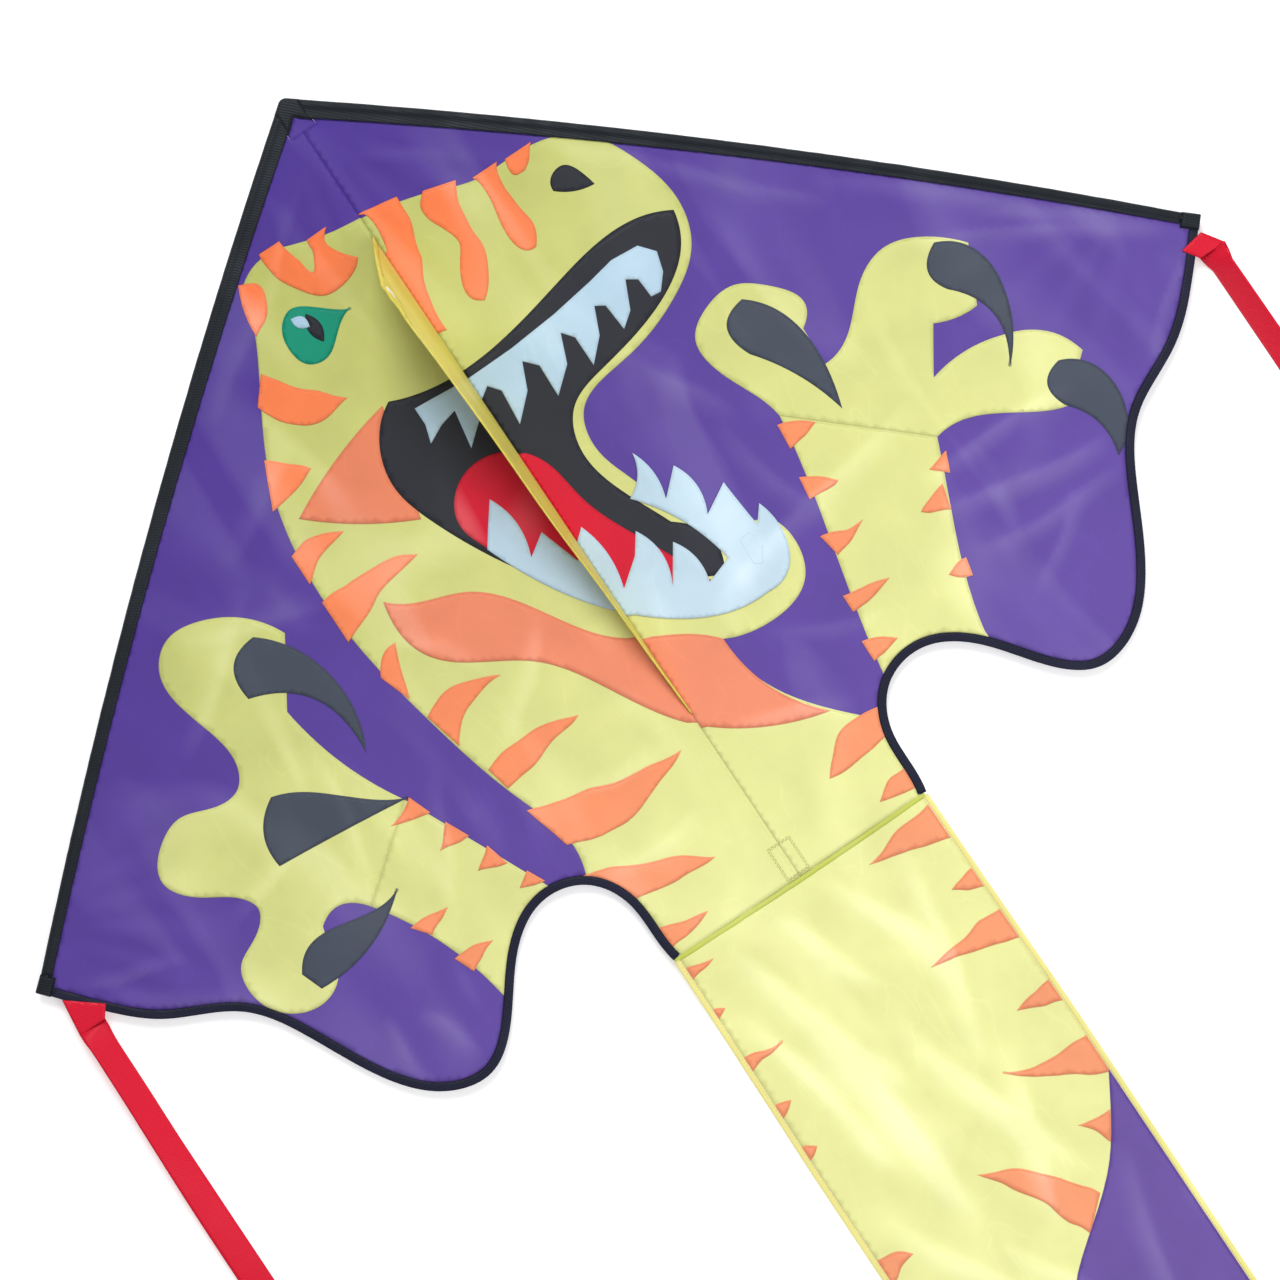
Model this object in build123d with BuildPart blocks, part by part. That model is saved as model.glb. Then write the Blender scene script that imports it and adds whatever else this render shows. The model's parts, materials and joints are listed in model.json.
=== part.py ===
from build123d import *
import math
import os

os.makedirs("parts", exist_ok=True)

# A single-line flyer kite, lying on its back with its face and keel up.
# X runs across the span, +Y points to the nose and Z is up. The origin is under the middle of
# the kite, on the surface that it lies on. Outlines are written as (across, down from the nose).

# Overall sizes, mm
kite_length = 2286.0  # nose to the end of the tail
seam_d = 785.0  # nose to the seam between the body and the tail
tip_x, tip_d = 586.0, 510.0  # wing tip
edge_bow = 12.0  # how far the spreader bends each leading edge outwards
tail_half_width, tail_wide_half, tail_wide_d = 127.5, 131.0, 1000.0  # at the seam, and from there
cloth = 0.5  # coated cloth, as modelled
layer = 0.25  # one sewn-on picture layer

# Rods, their caps and the clips that hold the spreader
spar_radius = 2.5
spreader_radius = 2.1
cap_wall = 0.5
cap_length, cap_grip = 15.0, 12.0
spreader_fraction = 0.433  # how far along the leading edge the spreader meets it
spreader_setback = 8.0  # from the spar's axis in to the spreader's end
clip_wall, clip_length, clip_clearance = 1.7, 18.0, 0.05
clip_stop_gap, clip_stop_foot = 0.3, 0.6  # the wall past the rod's end, and how low it reaches
clip_neck_length, clip_neck_height, clip_overlap = 10.0, 2.6, 0.5
collar_radius, collar_length = 3.7, 16.0
spar_start, spar_end = 25.5, 8.0  # from the nose and from the tip, along the edge

# Heights
spreader_z = spreader_radius + cap_wall
spine_z = 8.05
spar_z = 10.1
sail_z = 11.5
hinge_z = sail_z + cloth / 2
face_z = sail_z + cloth

# Leading edge sleeve, trailing edge binding and tip pockets
sleeve_z0, sleeve_z1 = 5.8, 14.4
sleeve_nose, sleeve_tip = 12.5, 9.5  # widths at its ends
channel_radius, channel_end = 3.15, 4.0  # the channel for the spar stops this far from the tip
spar_inset = 4.7
notch_length, notch_top = 34.0, 13.9
binding_width, binding_z0, binding_z1 = 7.5, 11.2, 12.3
inset_steps = 40  # points on the binding's inner edge
overrun = 20.0  # cutting shapes run past what they cut by this much
tip_pocket_length, tip_pocket_width = 17.0, 14.0
tip_pocket_over, tip_pocket_lap, tip_pocket_round = 2.0, 1.0, 1.5  # past the tip, past the edge

# Centre line
hinge_x = 2.4  # each wing folds about a line this far from the middle
picture_x = 3.0  # the picture layers start this far from the middle
tape_half = 1.0
nose_half, nose_depth, nose_gap, nose_round = 12.4, 34.0, 0.6, 7.0
nose_z0 = 4.2
spine_start, spine_stop = 12.0, 776.0
pocket_half, pocket_d, pocket_z0, pocket_z1 = 12.0, 748.0, 4.3, 11.15

# Keel and its tow eyelet
keel_z, keel_lean = 13.5, 8.0
keel_front, keel_tow, keel_back = (140, 0), (196, 118), (622, 0)
keel_hem_width, keel_trim, keel_patch_radius = 7.0, 0.3, 34.0
eyelet_at = (203.5, 101.5)
eyelet_bore, eyelet_barrel, eyelet_flange, eyelet_half = 3.0, 4.0, 6.5, 1.0

# Tail and streamers
tail_gap, tail_ramp, tail_hem = 2.0, 90.0, 5.0
streamer_width, streamer_length, streamer_ramp = 25.0, 1300.0, 80.0
streamer_gap = 0.5  # between a streamer and its tab
streamer_root = {"left": (563.5, 560.0), "right": (579.0, 540.0)}  # each lies a little differently
streamer_splay = {"left": 1.5, "right": 0.3}
tab_top = {"left": ((572, 528), (543, 551)), "right": ((579, 523), (557, 527))}

nose_y = kite_length / 2
half_ribbon = streamer_width / 2
edge_length = math.hypot(tip_x, tip_d)
edge_across, edge_down = tip_x / edge_length, tip_d / edge_length
sides = (("right", 1), ("left", -1))

trailing_edge = [
    (tip_x, tip_d), (550, 553), (508, 590), (452, 620), (418, 668), (382, 736), (348, 770),
    (307, 779), (272, 755), (234, 708), (192, 683), (153, 692), (132, 726), (130, 760),
    (tail_half_width, seam_d),
]


def at(x, d):
    return (x, nose_y - d)


def beside_edge(sign, along, inset):
    # a point along the straight line from nose to tip, and in from it
    across = along * edge_across - inset * edge_down
    return at(sign * across, along * edge_down + inset * edge_across)


def edge_arc(sign, inset_nose, inset_tip):
    middle = (inset_nose + inset_tip) / 2 - edge_bow
    return (
        beside_edge(sign, 0, inset_nose),
        beside_edge(sign, edge_length / 2, middle),
        beside_edge(sign, edge_length, inset_tip),
    )


def polygon(*points):
    with BuildSketch() as face:
        with BuildLine():
            Polyline(*[at(*point) for point in points], close=True)
        make_face()
    return face.sketch


def patch(*runs):
    # each run is a curve through its points, and each meets the next at a corner
    with BuildSketch() as face:
        with BuildLine():
            for run, following in zip(runs, runs[1:] + runs[:1]):
                points = [at(*point) for point in run + following[:1]]
                if len(points) == 2:
                    Line(*points)
                else:
                    Spline(points)
        make_face()
    return face.sketch


def stripe(root_a, bulge_a, tip, bulge_b, root_b):
    # a flame-shaped stripe that grows from an edge and ends in a point
    return patch([root_a, bulge_a], [tip, bulge_b], [root_b])


def trailing_points(sign, inset):
    # the trailing edge's own points, or points set in square to its curve
    points = [at(sign * x, d) for x, d in trailing_edge]
    if not inset:
        return points
    with BuildLine() as curve:
        Spline(points)
    edge = curve.edges()[0]
    steps = [step / inset_steps for step in range(inset_steps + 1)]
    turn = -90 * sign
    return [(edge @ t) + (edge % t).rotate(Axis.Z, turn) * inset for t in steps]


def wing_outline(sign, middle_x, bottom_d, inset=0):
    points = trailing_points(sign, inset)
    with BuildSketch() as face:
        with BuildLine():
            ThreePointArc(*edge_arc(sign, 0, 0))
            if inset:
                Line(at(sign * tip_x, tip_d), points[0])
            Spline(points)
            last = (sign * (tail_half_width - inset), seam_d)
            corners = [last, (last[0], bottom_d), (middle_x, bottom_d), (middle_x, 0), (0, 0)]
            path = [at(*b) for a, b in zip([None] + corners, corners) if a != b]
            Polyline(points[-1], *path[1:])
        make_face()
    return face.sketch


def sleeve_band(sign):
    outer = edge_arc(sign, 0, 0)
    inner = edge_arc(sign, sleeve_nose, sleeve_tip)
    with BuildSketch() as face:
        with BuildLine():
            ThreePointArc(*outer)
            Line(outer[2], inner[2])
            ThreePointArc(*inner)
            Line(inner[0], outer[0])
        make_face()
    return face.sketch


def middle_block(half, depth):
    with BuildSketch() as face:
        with Locations(at(0, depth / 2)):
            Rectangle(2 * half, depth)
    return face.sketch


def tip_block(sign):
    # the plan of the folded pocket over each wing tip
    along = edge_length + tip_pocket_over - tip_pocket_length / 2
    x, y = beside_edge(sign, along, tip_pocket_width / 2 - tip_pocket_lap)
    with BuildSketch() as face:
        with Locations(Location((x, y), -sign * math.degrees(math.atan2(edge_down, edge_across)))):
            Rectangle(tip_pocket_length, tip_pocket_width)
    return face.sketch


def spar_route(sign, start, stop):
    with BuildLine(Plane.XY.offset(spar_z)) as route:
        ThreePointArc(*edge_arc(sign, spar_inset, spar_inset))
    return route.edges()[0].trim(start / edge_length, stop / edge_length)


def rod_along(route, radius):
    with BuildPart() as rod:
        with BuildSketch(Plane(origin=route @ 0, z_dir=route % 0)):
            Circle(radius)
        sweep(path=route)
    return rod.part


def edge_plane(sign, origin):
    # X along the leading edge, Z up
    return Plane(origin=origin, x_dir=(sign * edge_across, -edge_down, 0), z_dir=(0, 0, 1))


def layer_solid(faces, bottom, height):
    with BuildPart() as piece:
        with BuildSketch(Plane.XY.offset(bottom)):
            add(faces)
        extrude(amount=height)
    return piece.part


def save(part, name):
    part.label = name
    export_step(part, f"parts/{name}.step")


# Plan shapes of each wing: the cloth inside its sleeve and binding, and the binding itself
middle_cut = middle_block(nose_half + nose_gap, nose_depth + nose_gap)
cloth_face, picture_face, binding_face = {}, {}, {}
for side, sign in sides:
    inside_binding = wing_outline(sign, -overrun * sign, seam_d + overrun, binding_width)
    with BuildSketch() as cloth_shape:
        add(wing_outline(sign, 0, seam_d))
        add(inside_binding, mode=Mode.INTERSECT)
        add(sleeve_band(sign), mode=Mode.SUBTRACT)
        add(tip_block(sign), mode=Mode.SUBTRACT)
        add(middle_cut, mode=Mode.SUBTRACT)
        add(middle_block(hinge_x, seam_d), mode=Mode.SUBTRACT)
    with BuildSketch() as picture_shape:
        add(cloth_shape.sketch)
        add(middle_block(picture_x, seam_d), mode=Mode.SUBTRACT)
    with BuildSketch() as binding_shape:
        add(wing_outline(sign, 0, seam_d))
        add(inside_binding, mode=Mode.SUBTRACT)
        add(sleeve_band(sign), mode=Mode.SUBTRACT)
        add(tip_block(sign), mode=Mode.SUBTRACT)
        add(middle_cut, mode=Mode.SUBTRACT)
    cloth_face[side] = cloth_shape.sketch
    picture_face[side] = picture_shape.sketch
    binding_face[side] = binding_shape.sketch

# The wings: cloth, binding, spar, caps, sleeve, tip pocket, spreader clip and streamer tab
for side, sign in sides:
    save(layer_solid(cloth_face[side], sail_z, cloth), f"sail_{side}")
    save(
        layer_solid(binding_face[side], binding_z0, binding_z1 - binding_z0),
        f"trailing_edge_binding_{side}",
    )

    route = spar_route(sign, spar_start, edge_length - spar_end)
    spar = rod_along(route, spar_radius)
    save(spar, f"leading_edge_spar_{side}")

    with BuildPart() as caps:
        for end, outward in ((0, -1), (1, 1)):
            direction = (route % end) * outward
            with BuildSketch(Plane(origin=(route @ end) - direction * cap_grip, z_dir=direction)):
                Circle(spar_radius + cap_wall)
            extrude(amount=cap_length)
        add(spar, mode=Mode.SUBTRACT)
    save(caps.part, f"spar_end_caps_{side}")

    channel = rod_along(spar_route(sign, 0, edge_length - channel_end), channel_radius)
    with BuildPart() as tip_pocket:
        with BuildSketch(Plane.XY.offset(sleeve_z0)) as tip_shape:
            add(tip_block(sign))
            fillet(tip_shape.vertices(), radius=tip_pocket_round)
        extrude(amount=sleeve_z1 - sleeve_z0)
        add(channel, mode=Mode.SUBTRACT)
    save(tip_pocket.part, f"tip_pocket_{side}")

    clip_at = spar_route(sign, 0, edge_length) @ spreader_fraction
    clip_direction = spar_route(sign, 0, edge_length) % spreader_fraction
    with BuildPart() as sleeve:
        with BuildSketch(Plane.XY.offset(sleeve_z0)):
            add(sleeve_band(sign))
            add(middle_cut, mode=Mode.SUBTRACT)
            add(tip_block(sign), mode=Mode.SUBTRACT)
        extrude(amount=sleeve_z1 - sleeve_z0)
        with BuildSketch(edge_plane(sign, (clip_at.X, clip_at.Y, sleeve_z0))):
            Rectangle(notch_length, 4 * sleeve_nose)
        extrude(amount=notch_top - sleeve_z0, mode=Mode.SUBTRACT)
        add(channel, mode=Mode.SUBTRACT)
    save(sleeve.part, f"leading_edge_sleeve_{side}")

    # The clip hooks over the spreader's end from above, so it opens towards the back of the kite
    rod_end = abs(clip_at.X) - spreader_setback
    clip_half = spreader_radius + cap_wall + clip_wall
    saddle_top = spreader_z + clip_half
    stop_x = rod_end + clip_stop_gap
    upwards = (Align.CENTER, Align.CENTER, Align.MIN)
    with BuildPart() as clip:
        with Locations((sign * (stop_x + clip_wall - clip_length / 2), clip_at.Y, spreader_z)):
            Box(clip_length, 2 * clip_half, clip_half, align=upwards)
        with Locations((sign * (stop_x + clip_wall / 2), clip_at.Y, clip_stop_foot)):
            Box(clip_wall, 2 * clip_half, saddle_top - clip_stop_foot, align=upwards)
        with Locations((sign * stop_x, clip_at.Y, saddle_top - clip_overlap)):
            Box(clip_neck_length, 2 * clip_half, clip_neck_height, align=upwards)
        with BuildSketch(Plane(origin=clip_at, z_dir=clip_direction)):
            Circle(collar_radius)
        extrude(amount=collar_length / 2, both=True)
        with BuildSketch(Plane(origin=clip_at, z_dir=clip_direction)):
            Circle(spar_radius + clip_clearance)
        extrude(amount=collar_length, both=True, mode=Mode.SUBTRACT)
        with BuildSketch(Plane(origin=(0, clip_at.Y, spreader_z), z_dir=(sign, 0, 0))):
            Circle(spreader_radius + cap_wall + clip_clearance)
        extrude(amount=stop_x, mode=Mode.SUBTRACT)
    save(clip.part, f"spreader_clip_{side}")

    root_x, root_d = streamer_root[side]
    tab_points = [*tab_top[side], (root_x - half_ribbon, root_d), (root_x + half_ribbon, root_d)]
    tab = polygon(*[(sign * x, d) for x, d in tab_points])
    save(layer_solid(tab, binding_z1, cloth), f"streamer_tab_{side}")

# Spreader: one rod with a cap at each end
spreader_y = clip_at.Y
with BuildPart() as spreader_rod:
    with BuildSketch(Plane(origin=(0, spreader_y, spreader_z), z_dir=(1, 0, 0))):
        Circle(spreader_radius)
    extrude(amount=rod_end - (cap_length - cap_grip), both=True)
save(spreader_rod.part, "spreader_rod")

with BuildPart() as spreader_caps:
    for sign in (1, -1):
        start = (sign * (rod_end - cap_length), spreader_y, spreader_z)
        with BuildSketch(Plane(origin=start, z_dir=(sign, 0, 0))):
            Circle(spreader_radius + cap_wall)
        extrude(amount=cap_length)
    add(spreader_rod.part, mode=Mode.SUBTRACT)
save(spreader_caps.part, "spreader_end_caps")

# Spine: rod, caps, nose pocket, tail pocket and the tape along the centre seam
with BuildPart() as spine_rod:
    with BuildSketch(Plane(origin=(0, nose_y - spine_start, spine_z), z_dir=(0, -1, 0))):
        Circle(spar_radius)
    extrude(amount=spine_stop - spine_start)
save(spine_rod.part, "spine_rod")

with BuildPart() as spine_caps:
    for d, outward in ((spine_start, 1), (spine_stop, -1)):
        start = (0, nose_y - d - outward * cap_grip, spine_z)
        with BuildSketch(Plane(origin=start, z_dir=(0, outward, 0))):
            Circle(spar_radius + cap_wall)
        extrude(amount=cap_length)
    add(spine_rod.part, mode=Mode.SUBTRACT)
save(spine_caps.part, "spine_end_caps")

with BuildPart() as nose_pocket:
    with BuildSketch(Plane.XY.offset(nose_z0)) as nose_shape:
        add(wing_outline(1, 0, seam_d))
        add(wing_outline(-1, 0, seam_d))
        add(middle_block(nose_half, nose_depth), mode=Mode.INTERSECT)
        fillet(nose_shape.vertices().sort_by(Axis.Y)[-1], radius=nose_round)
    extrude(amount=sleeve_z1 - nose_z0)
    bore_start = (0, nose_y - spine_start + cap_length - cap_grip, spine_z)
    with BuildSketch(Plane(origin=bore_start, z_dir=(0, -1, 0))):
        Circle(channel_radius)
    extrude(amount=nose_depth, mode=Mode.SUBTRACT)
save(nose_pocket.part, "nose_pocket")

with BuildPart() as tail_pocket:
    with BuildSketch(Plane.XY.offset(pocket_z0)):
        with Locations(at(0, (pocket_d + seam_d) / 2)):
            Rectangle(2 * pocket_half, seam_d - pocket_d)
    extrude(amount=pocket_z1 - pocket_z0)
    with BuildSketch(Plane(origin=(0, nose_y - pocket_d, spine_z), z_dir=(0, -1, 0))):
        Circle(spar_radius + cap_wall + clip_clearance)
    extrude(amount=spine_stop + cap_length - cap_grip - pocket_d, mode=Mode.SUBTRACT)
save(tail_pocket.part, "spine_tail_pocket")

with BuildPart() as seam_tape:
    with BuildSketch(Plane.XY.offset(pocket_z1)):
        with Locations(at(0, (nose_depth + nose_gap + seam_d) / 2)):
            Rectangle(2 * tape_half, seam_d - nose_depth - nose_gap)
    extrude(amount=face_z - pocket_z1)
save(seam_tape.part, "centre_seam_tape")

# Keel: a triangle of cloth that stands on the centre seam, with a hem and a tow eyelet
lean = math.radians(keel_lean)
keel_plane = Plane(
    origin=(0, nose_y, keel_z), x_dir=(0, -1, 0), z_dir=(-math.cos(lean), 0, -math.sin(lean))
)


def keel_face(inset):
    with BuildSketch() as face:
        with BuildLine():
            Polyline(keel_front, keel_tow, keel_back, close=True)
        make_face()
        if inset:
            offset(amount=-inset, mode=Mode.REPLACE, kind=Kind.INTERSECTION)
    return face.sketch


with BuildPart() as keel:
    with BuildSketch(keel_plane):
        add(keel_face(0))
        with Locations(eyelet_at):
            Circle(eyelet_barrel, mode=Mode.SUBTRACT)
    extrude(amount=cloth / 2, both=True)
save(keel.part, "keel")

with BuildPart() as keel_hem:
    for face_side in (cloth / 2, -cloth / 2 - keel_trim):
        with BuildSketch(keel_plane.offset(face_side)):
            add(keel_face(0))
            add(keel_face(keel_hem_width), mode=Mode.SUBTRACT)
            with Locations((keel_back[0] / 2, 0)):
                Rectangle(keel_back[0] * 2, 2 * keel_hem_width, mode=Mode.SUBTRACT)
        extrude(amount=keel_trim)
save(keel_hem.part, "keel_hem")

with BuildPart() as keel_patch:
    for face_side in (cloth / 2, -cloth / 2 - keel_trim):
        with BuildSketch(keel_plane.offset(face_side)):
            add(keel_face(keel_hem_width))
            with Locations(keel_tow):
                Circle(keel_patch_radius, mode=Mode.INTERSECT)
            with Locations(eyelet_at):
                Circle(eyelet_flange + clip_clearance, mode=Mode.SUBTRACT)
        extrude(amount=keel_trim)
save(keel_patch.part, "keel_corner_patch")

with BuildPart() as tow_eyelet:
    with BuildSketch(keel_plane):
        with Locations(eyelet_at):
            Circle(eyelet_barrel)
    extrude(amount=eyelet_half, both=True)
    for face_side in (cloth / 2, -eyelet_half):
        with BuildSketch(keel_plane.offset(face_side)):
            with Locations(eyelet_at):
                Circle(eyelet_flange)
        extrude(amount=eyelet_half - cloth / 2)
    with BuildSketch(keel_plane):
        with Locations(eyelet_at):
            Circle(eyelet_bore)
    extrude(amount=2 * eyelet_half, both=True, mode=Mode.SUBTRACT)
save(tow_eyelet.part, "tow_eyelet")

# Picture: a dinosaur sewn on in coloured pieces, most of them cut in two at the centre seam
body_and_head = patch(
    [
        (-113, 114), (-80, 104), (-40, 115), (0, 122), (60, 136), (95, 148), (150, 150),
        (195, 168), (218, 205), (230, 255), (218, 295), (180, 324), (120, 343), (66, 360),
        (57, 392), (66, 425),
    ],
    [(70, 436), (95, 490)],
    [(145, 520), (153, 550), (143, 579), (95, 594)],
    [(57, 584), (64, 630), (90, 672)],
    [(128, 712)],
    [(140, 800)],
    [(-140, 800)],
    [
        (-151, 690), (-144, 655), (-160, 600), (-185, 510), (-201, 420), (-203, 345),
        (-188, 270), (-156, 205), (-126, 150),
    ],
)
arm_right = patch(
    [(200, 455)],
    [(300, 543), (291, 565), (258, 645)],
    [(243, 700)],
    [(243, 730)],
    [(150, 730)],
    [(150, 700), (166, 615), (188, 522)],
)
arm_left = patch(
    [(-240, 548), (-206, 620)],
    [(-178, 680)],
    [(-178, 760)],
    [(-262, 760)],
    [(-262, 735), (-285, 655)],
    [(-313, 607)],
)
hand_right = patch(
    [
        (200, 455), (193, 430), (178, 395), (177, 362), (200, 345), (228, 342), (252, 358),
        (270, 385),
    ],
    [(257, 405)],
    [(256, 440), (285, 430), (322, 396), (350, 386), (385, 398)],
    [(412, 422)],
    [(389, 470), (370, 469)],
    [(350, 462)],
    [(325, 500), (352, 496)],
    [(392, 502), (430, 525)],
    [(442, 550)],
    [(405, 582), (362, 560), (330, 544)],
    [(300, 543)],
)
hand_left = patch(
    [(-240, 548), (-262, 505)],
    [(-281, 432)],
    [
        (-246, 376), (-268, 346), (-300, 328), (-332, 326), (-352, 345), (-353, 380),
        (-342, 420), (-341, 445), (-352, 463), (-375, 465), (-406, 456), (-432, 467),
        (-448, 492), (-432, 518), (-400, 541), (-393, 554), (-408, 574), (-432, 588),
        (-437, 615), (-422, 642), (-400, 652),
    ],
    [(-370, 642)],
    [(-356, 598), (-340, 591)],
    [(-313, 607)],
)
throat = patch(
    [(-163, 400), (-148, 412), (-100, 432), (-52, 488), (-15, 535), (28, 560)],
    [(57, 584), (64, 630)],
    [(98, 684), (40, 662), (-8, 625), (-45, 568), (-85, 512), (-145, 472)],
)
cheek = patch([(-72, 263), (-130, 279)], [(-183, 303), (-150, 330)], [(-98, 360)])
mouth = patch(
    [(-66, 263), (-20, 275), (40, 273), (110, 258), (190, 250)],
    [(222, 262), (205, 297), (165, 322), (100, 339), (60, 354), (46, 385), (52, 425)],
    [(75, 478), (97, 512)],
    [(88, 540)],
    [(30, 510), (-30, 470), (-70, 412), (-92, 365), (-102, 325), (-90, 285)],
)
tongue = patch(
    [(-70, 400), (-68, 365), (-45, 348), (-10, 351), (14, 375), (24, 420), (45, 472)],
    [(76, 538), (20, 515), (-30, 470)],
)
upper_teeth = polygon(
    (-51, 280), (0, 284), (45, 283), (90, 279), (130, 273), (155, 268), (180, 270), (191, 283),
    (186, 300), (175, 313), (166, 312), (165, 294), (156, 288), (145, 312), (132, 322),
    (130, 297), (122, 292), (112, 315), (94, 333), (94, 305), (86, 295), (76, 320), (55, 338),
    (56, 308), (46, 297), (36, 320), (15, 340), (18, 308), (10, 298), (-4, 312), (-30, 334),
    (-24, 300), (-40, 304), (-56, 312), (-51, 296),
)
lower_teeth_inner = patch(
    [(-66, 412)],
    [(-56, 398)],
    [(-41, 378), (-34, 398)],
    [(-39, 438)],
    [(-20, 425)],
    [(-8, 462)],
    [(10, 440), (16, 468)],
    [(11, 503)],
    [(34, 485)],
    [(46, 468), (54, 495)],
    [(46, 524)],
    [(67, 493), (76, 515)],
    [(74, 538)],
    [(98, 530)],
    [(110, 572), (85, 571), (25, 542), (-25, 490)],
)
lower_teeth_outer = patch(
    [(57, 443), (70, 434)],
    [(80, 412), (86, 435)],
    [(82, 460)],
    [(103, 440), (110, 462)],
    [(104, 490)],
    [(130, 475), (132, 500)],
    [(134, 520)],
    [(145, 506), (149, 535)],
    [(143, 556), (128, 570)],
    [(110, 572)],
    [(98, 530), (82, 480)],
)
jaw_gap = polygon((113, 522), (124, 520), (132, 532), (120, 552), (112, 546))
eye = patch(
    [(-48, 180), (-74, 162), (-93, 153), (-106, 162), (-111, 180), (-105, 199), (-90, 204), (-68, 190)],
)
pupil = patch([(-83, 163), (-77, 178)], [(-83, 191), (-89, 178)])
eye_glint = patch([(-96, 160), (-86, 164)], [(-86, 174), (-95, 169)])
nostril = patch([(147, 193), (152, 182), (165, 179), (176, 195)], [(179, 207), (160, 202)])
claws = (
    patch(
        [(-245, 497), (-232, 450), (-246, 392)], [(-270, 364), (-296, 374)],
        [(-302, 405), (-262, 428)],
    ),
    patch(
        [(-332, 484), (-318, 489), (-275, 522)], [(-236, 548), (-300, 541)],
        [(-358, 536), (-356, 510)],
    ),
    patch([(-286, 606), (-325, 609), (-370, 604)], [(-393, 622)], [(-386, 641), (-338, 636)]),
    patch([(247, 479), (256, 440), (252, 390)], [(228, 356), (206, 366)], [(208, 398), (234, 440)]),
    patch([(383, 528), (414, 478), (414, 430)], [(388, 406), (370, 425)], [(376, 445), (396, 478)]),
    patch([(418, 640), (448, 600), (441, 562)], [(420, 546), (402, 556)], [(404, 580), (420, 610)]),
)
stripes = (
    patch([(-117, 112), (-100, 124)], [(-116, 150)], [(-128, 156), (-124, 130)]),
    patch(
        [(-88, 100), (-84, 128), (-48, 162)], [(-22, 147), (-36, 122)], [(-28, 112)],
        [(-48, 112), (-56, 138)], [(-68, 100)],
    ),
    patch([(2, 118), (0, 170), (2, 238)], [(8, 240), (14, 200), (27, 165)], [(35, 124)]),
    patch([(56, 132), (48, 165), (57, 186), (44, 210)], [(48, 238), (70, 205), (74, 170)], [(84, 140)]),
    patch([(96, 146), (97, 180), (102, 222)], [(110, 222), (119, 190), (115, 165)], [(121, 146)]),
    patch([(128, 148), (129, 167)], [(136, 168)], [(154, 148)]),
    stripe((-142, 184), (-118, 217), (-94, 241), (-140, 237), (-160, 206)),
    stripe((-180, 246), (-160, 264), (-150, 276), (-170, 281), (-198, 286)),
    stripe((-206, 326), (-180, 322), (-160, 330), (-185, 340), (-206, 354)),
    stripe((-206, 372), (-165, 369), (-117, 381), (-160, 394), (-206, 412)),
    stripe((-200, 452), (-185, 437), (-172, 437), (-181, 460), (-190, 480)),
    stripe((-186, 501), (-155, 491), (-115, 506), (-155, 514), (-177, 536)),
    stripe((-168, 566), (-125, 560), (-80, 570), (-122, 583), (-163, 588)),
    stripe((-160, 612), (-105, 628), (-24, 641), (-90, 664), (-148, 655)),
    stripe((-160, 682), (-90, 706), (-48, 731), (-105, 727), (-142, 722)),
    stripe((-140, 752), (-112, 758), (-82, 766), (-110, 773), (-140, 778)),
    stripe((140, 706), (104, 702), (66, 728), (105, 730), (140, 724)),
    stripe((140, 758), (112, 760), (88, 769), (112, 776), (140, 777)),
)
arm_stripes = (
    stripe((194, 460), (206, 464), (222, 476), (208, 480), (192, 483)),
    stripe((184, 506), (196, 513), (212, 525), (198, 527), (182, 527)),
    stripe((172, 557), (190, 562), (210, 566), (194, 572), (176, 579)),
    stripe((160, 610), (178, 613), (200, 618), (182, 624), (160, 626)),
    stripe((152, 650), (166, 655), (180, 665), (166, 668), (152, 670)),
    stripe((300, 556), (290, 559), (279, 562), (286, 568), (292, 574)),
    stripe((282, 578), (268, 580), (255, 586), (264, 592), (276, 600)),
    stripe((264, 640), (254, 640), (243, 645), (251, 652), (260, 656)),
    stripe((-236, 548), (-248, 556), (-262, 560), (-246, 565), (-228, 569)),
    stripe((-222, 582), (-230, 591), (-241, 601), (-228, 603), (-212, 603)),
    stripe((-204, 618), (-213, 626), (-223, 635), (-210, 638), (-198, 640)),
    stripe((-188, 654), (-195, 659), (-202, 664), (-190, 668), (-180, 670)),
    stripe((-296, 640), (-278, 639), (-260, 641), (-275, 649), (-284, 655)),
    stripe((-280, 682), (-262, 682), (-242, 688), (-260, 694), (-272, 700)),
)

# name, layer, pieces, and what is cut away from them
pictures = (
    ("dinosaur", 0, (body_and_head, arm_right, arm_left), ()),
    ("hand", 0, (hand_right, hand_left), ()),
    ("stripes", 1, stripes + arm_stripes, (throat, cheek)),
    ("throat", 1, (throat, cheek), (mouth,)),
    ("mouth", 1, (mouth,), ()),
    ("claws", 1, claws, arm_stripes),
    ("eye_iris", 1, (eye,), ()),
    ("nostril", 1, (nostril,), ()),
    ("tongue", 2, (tongue,), ()),
    ("upper_teeth", 2, (upper_teeth,), ()),
    ("eye_pupil", 2, (pupil,), (eye_glint,)),
    ("eye_glint", 2, (eye_glint,), ()),
    ("lower_teeth", 3, (lower_teeth_inner, lower_teeth_outer), (jaw_gap,)),
)
for name, level, pieces, cuts in pictures:
    for side, sign in sides:
        here = [p for p in pieces if max(sign * v.X for v in p.vertices()) > picture_x]
        if not here:
            continue
        with BuildSketch() as picture:
            for piece in here:
                add(piece)
            for cut in cuts:
                add(cut, mode=Mode.SUBTRACT)
            add(picture_face[side], mode=Mode.INTERSECT)
        solid = layer_solid(picture.sketch, face_z + level * layer, layer)
        save(solid, name if name.startswith(("eye", "nostril")) else f"{name}_{side}")

# The tail and the streamers slope from their seams to the ground and lie flat from there


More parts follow.
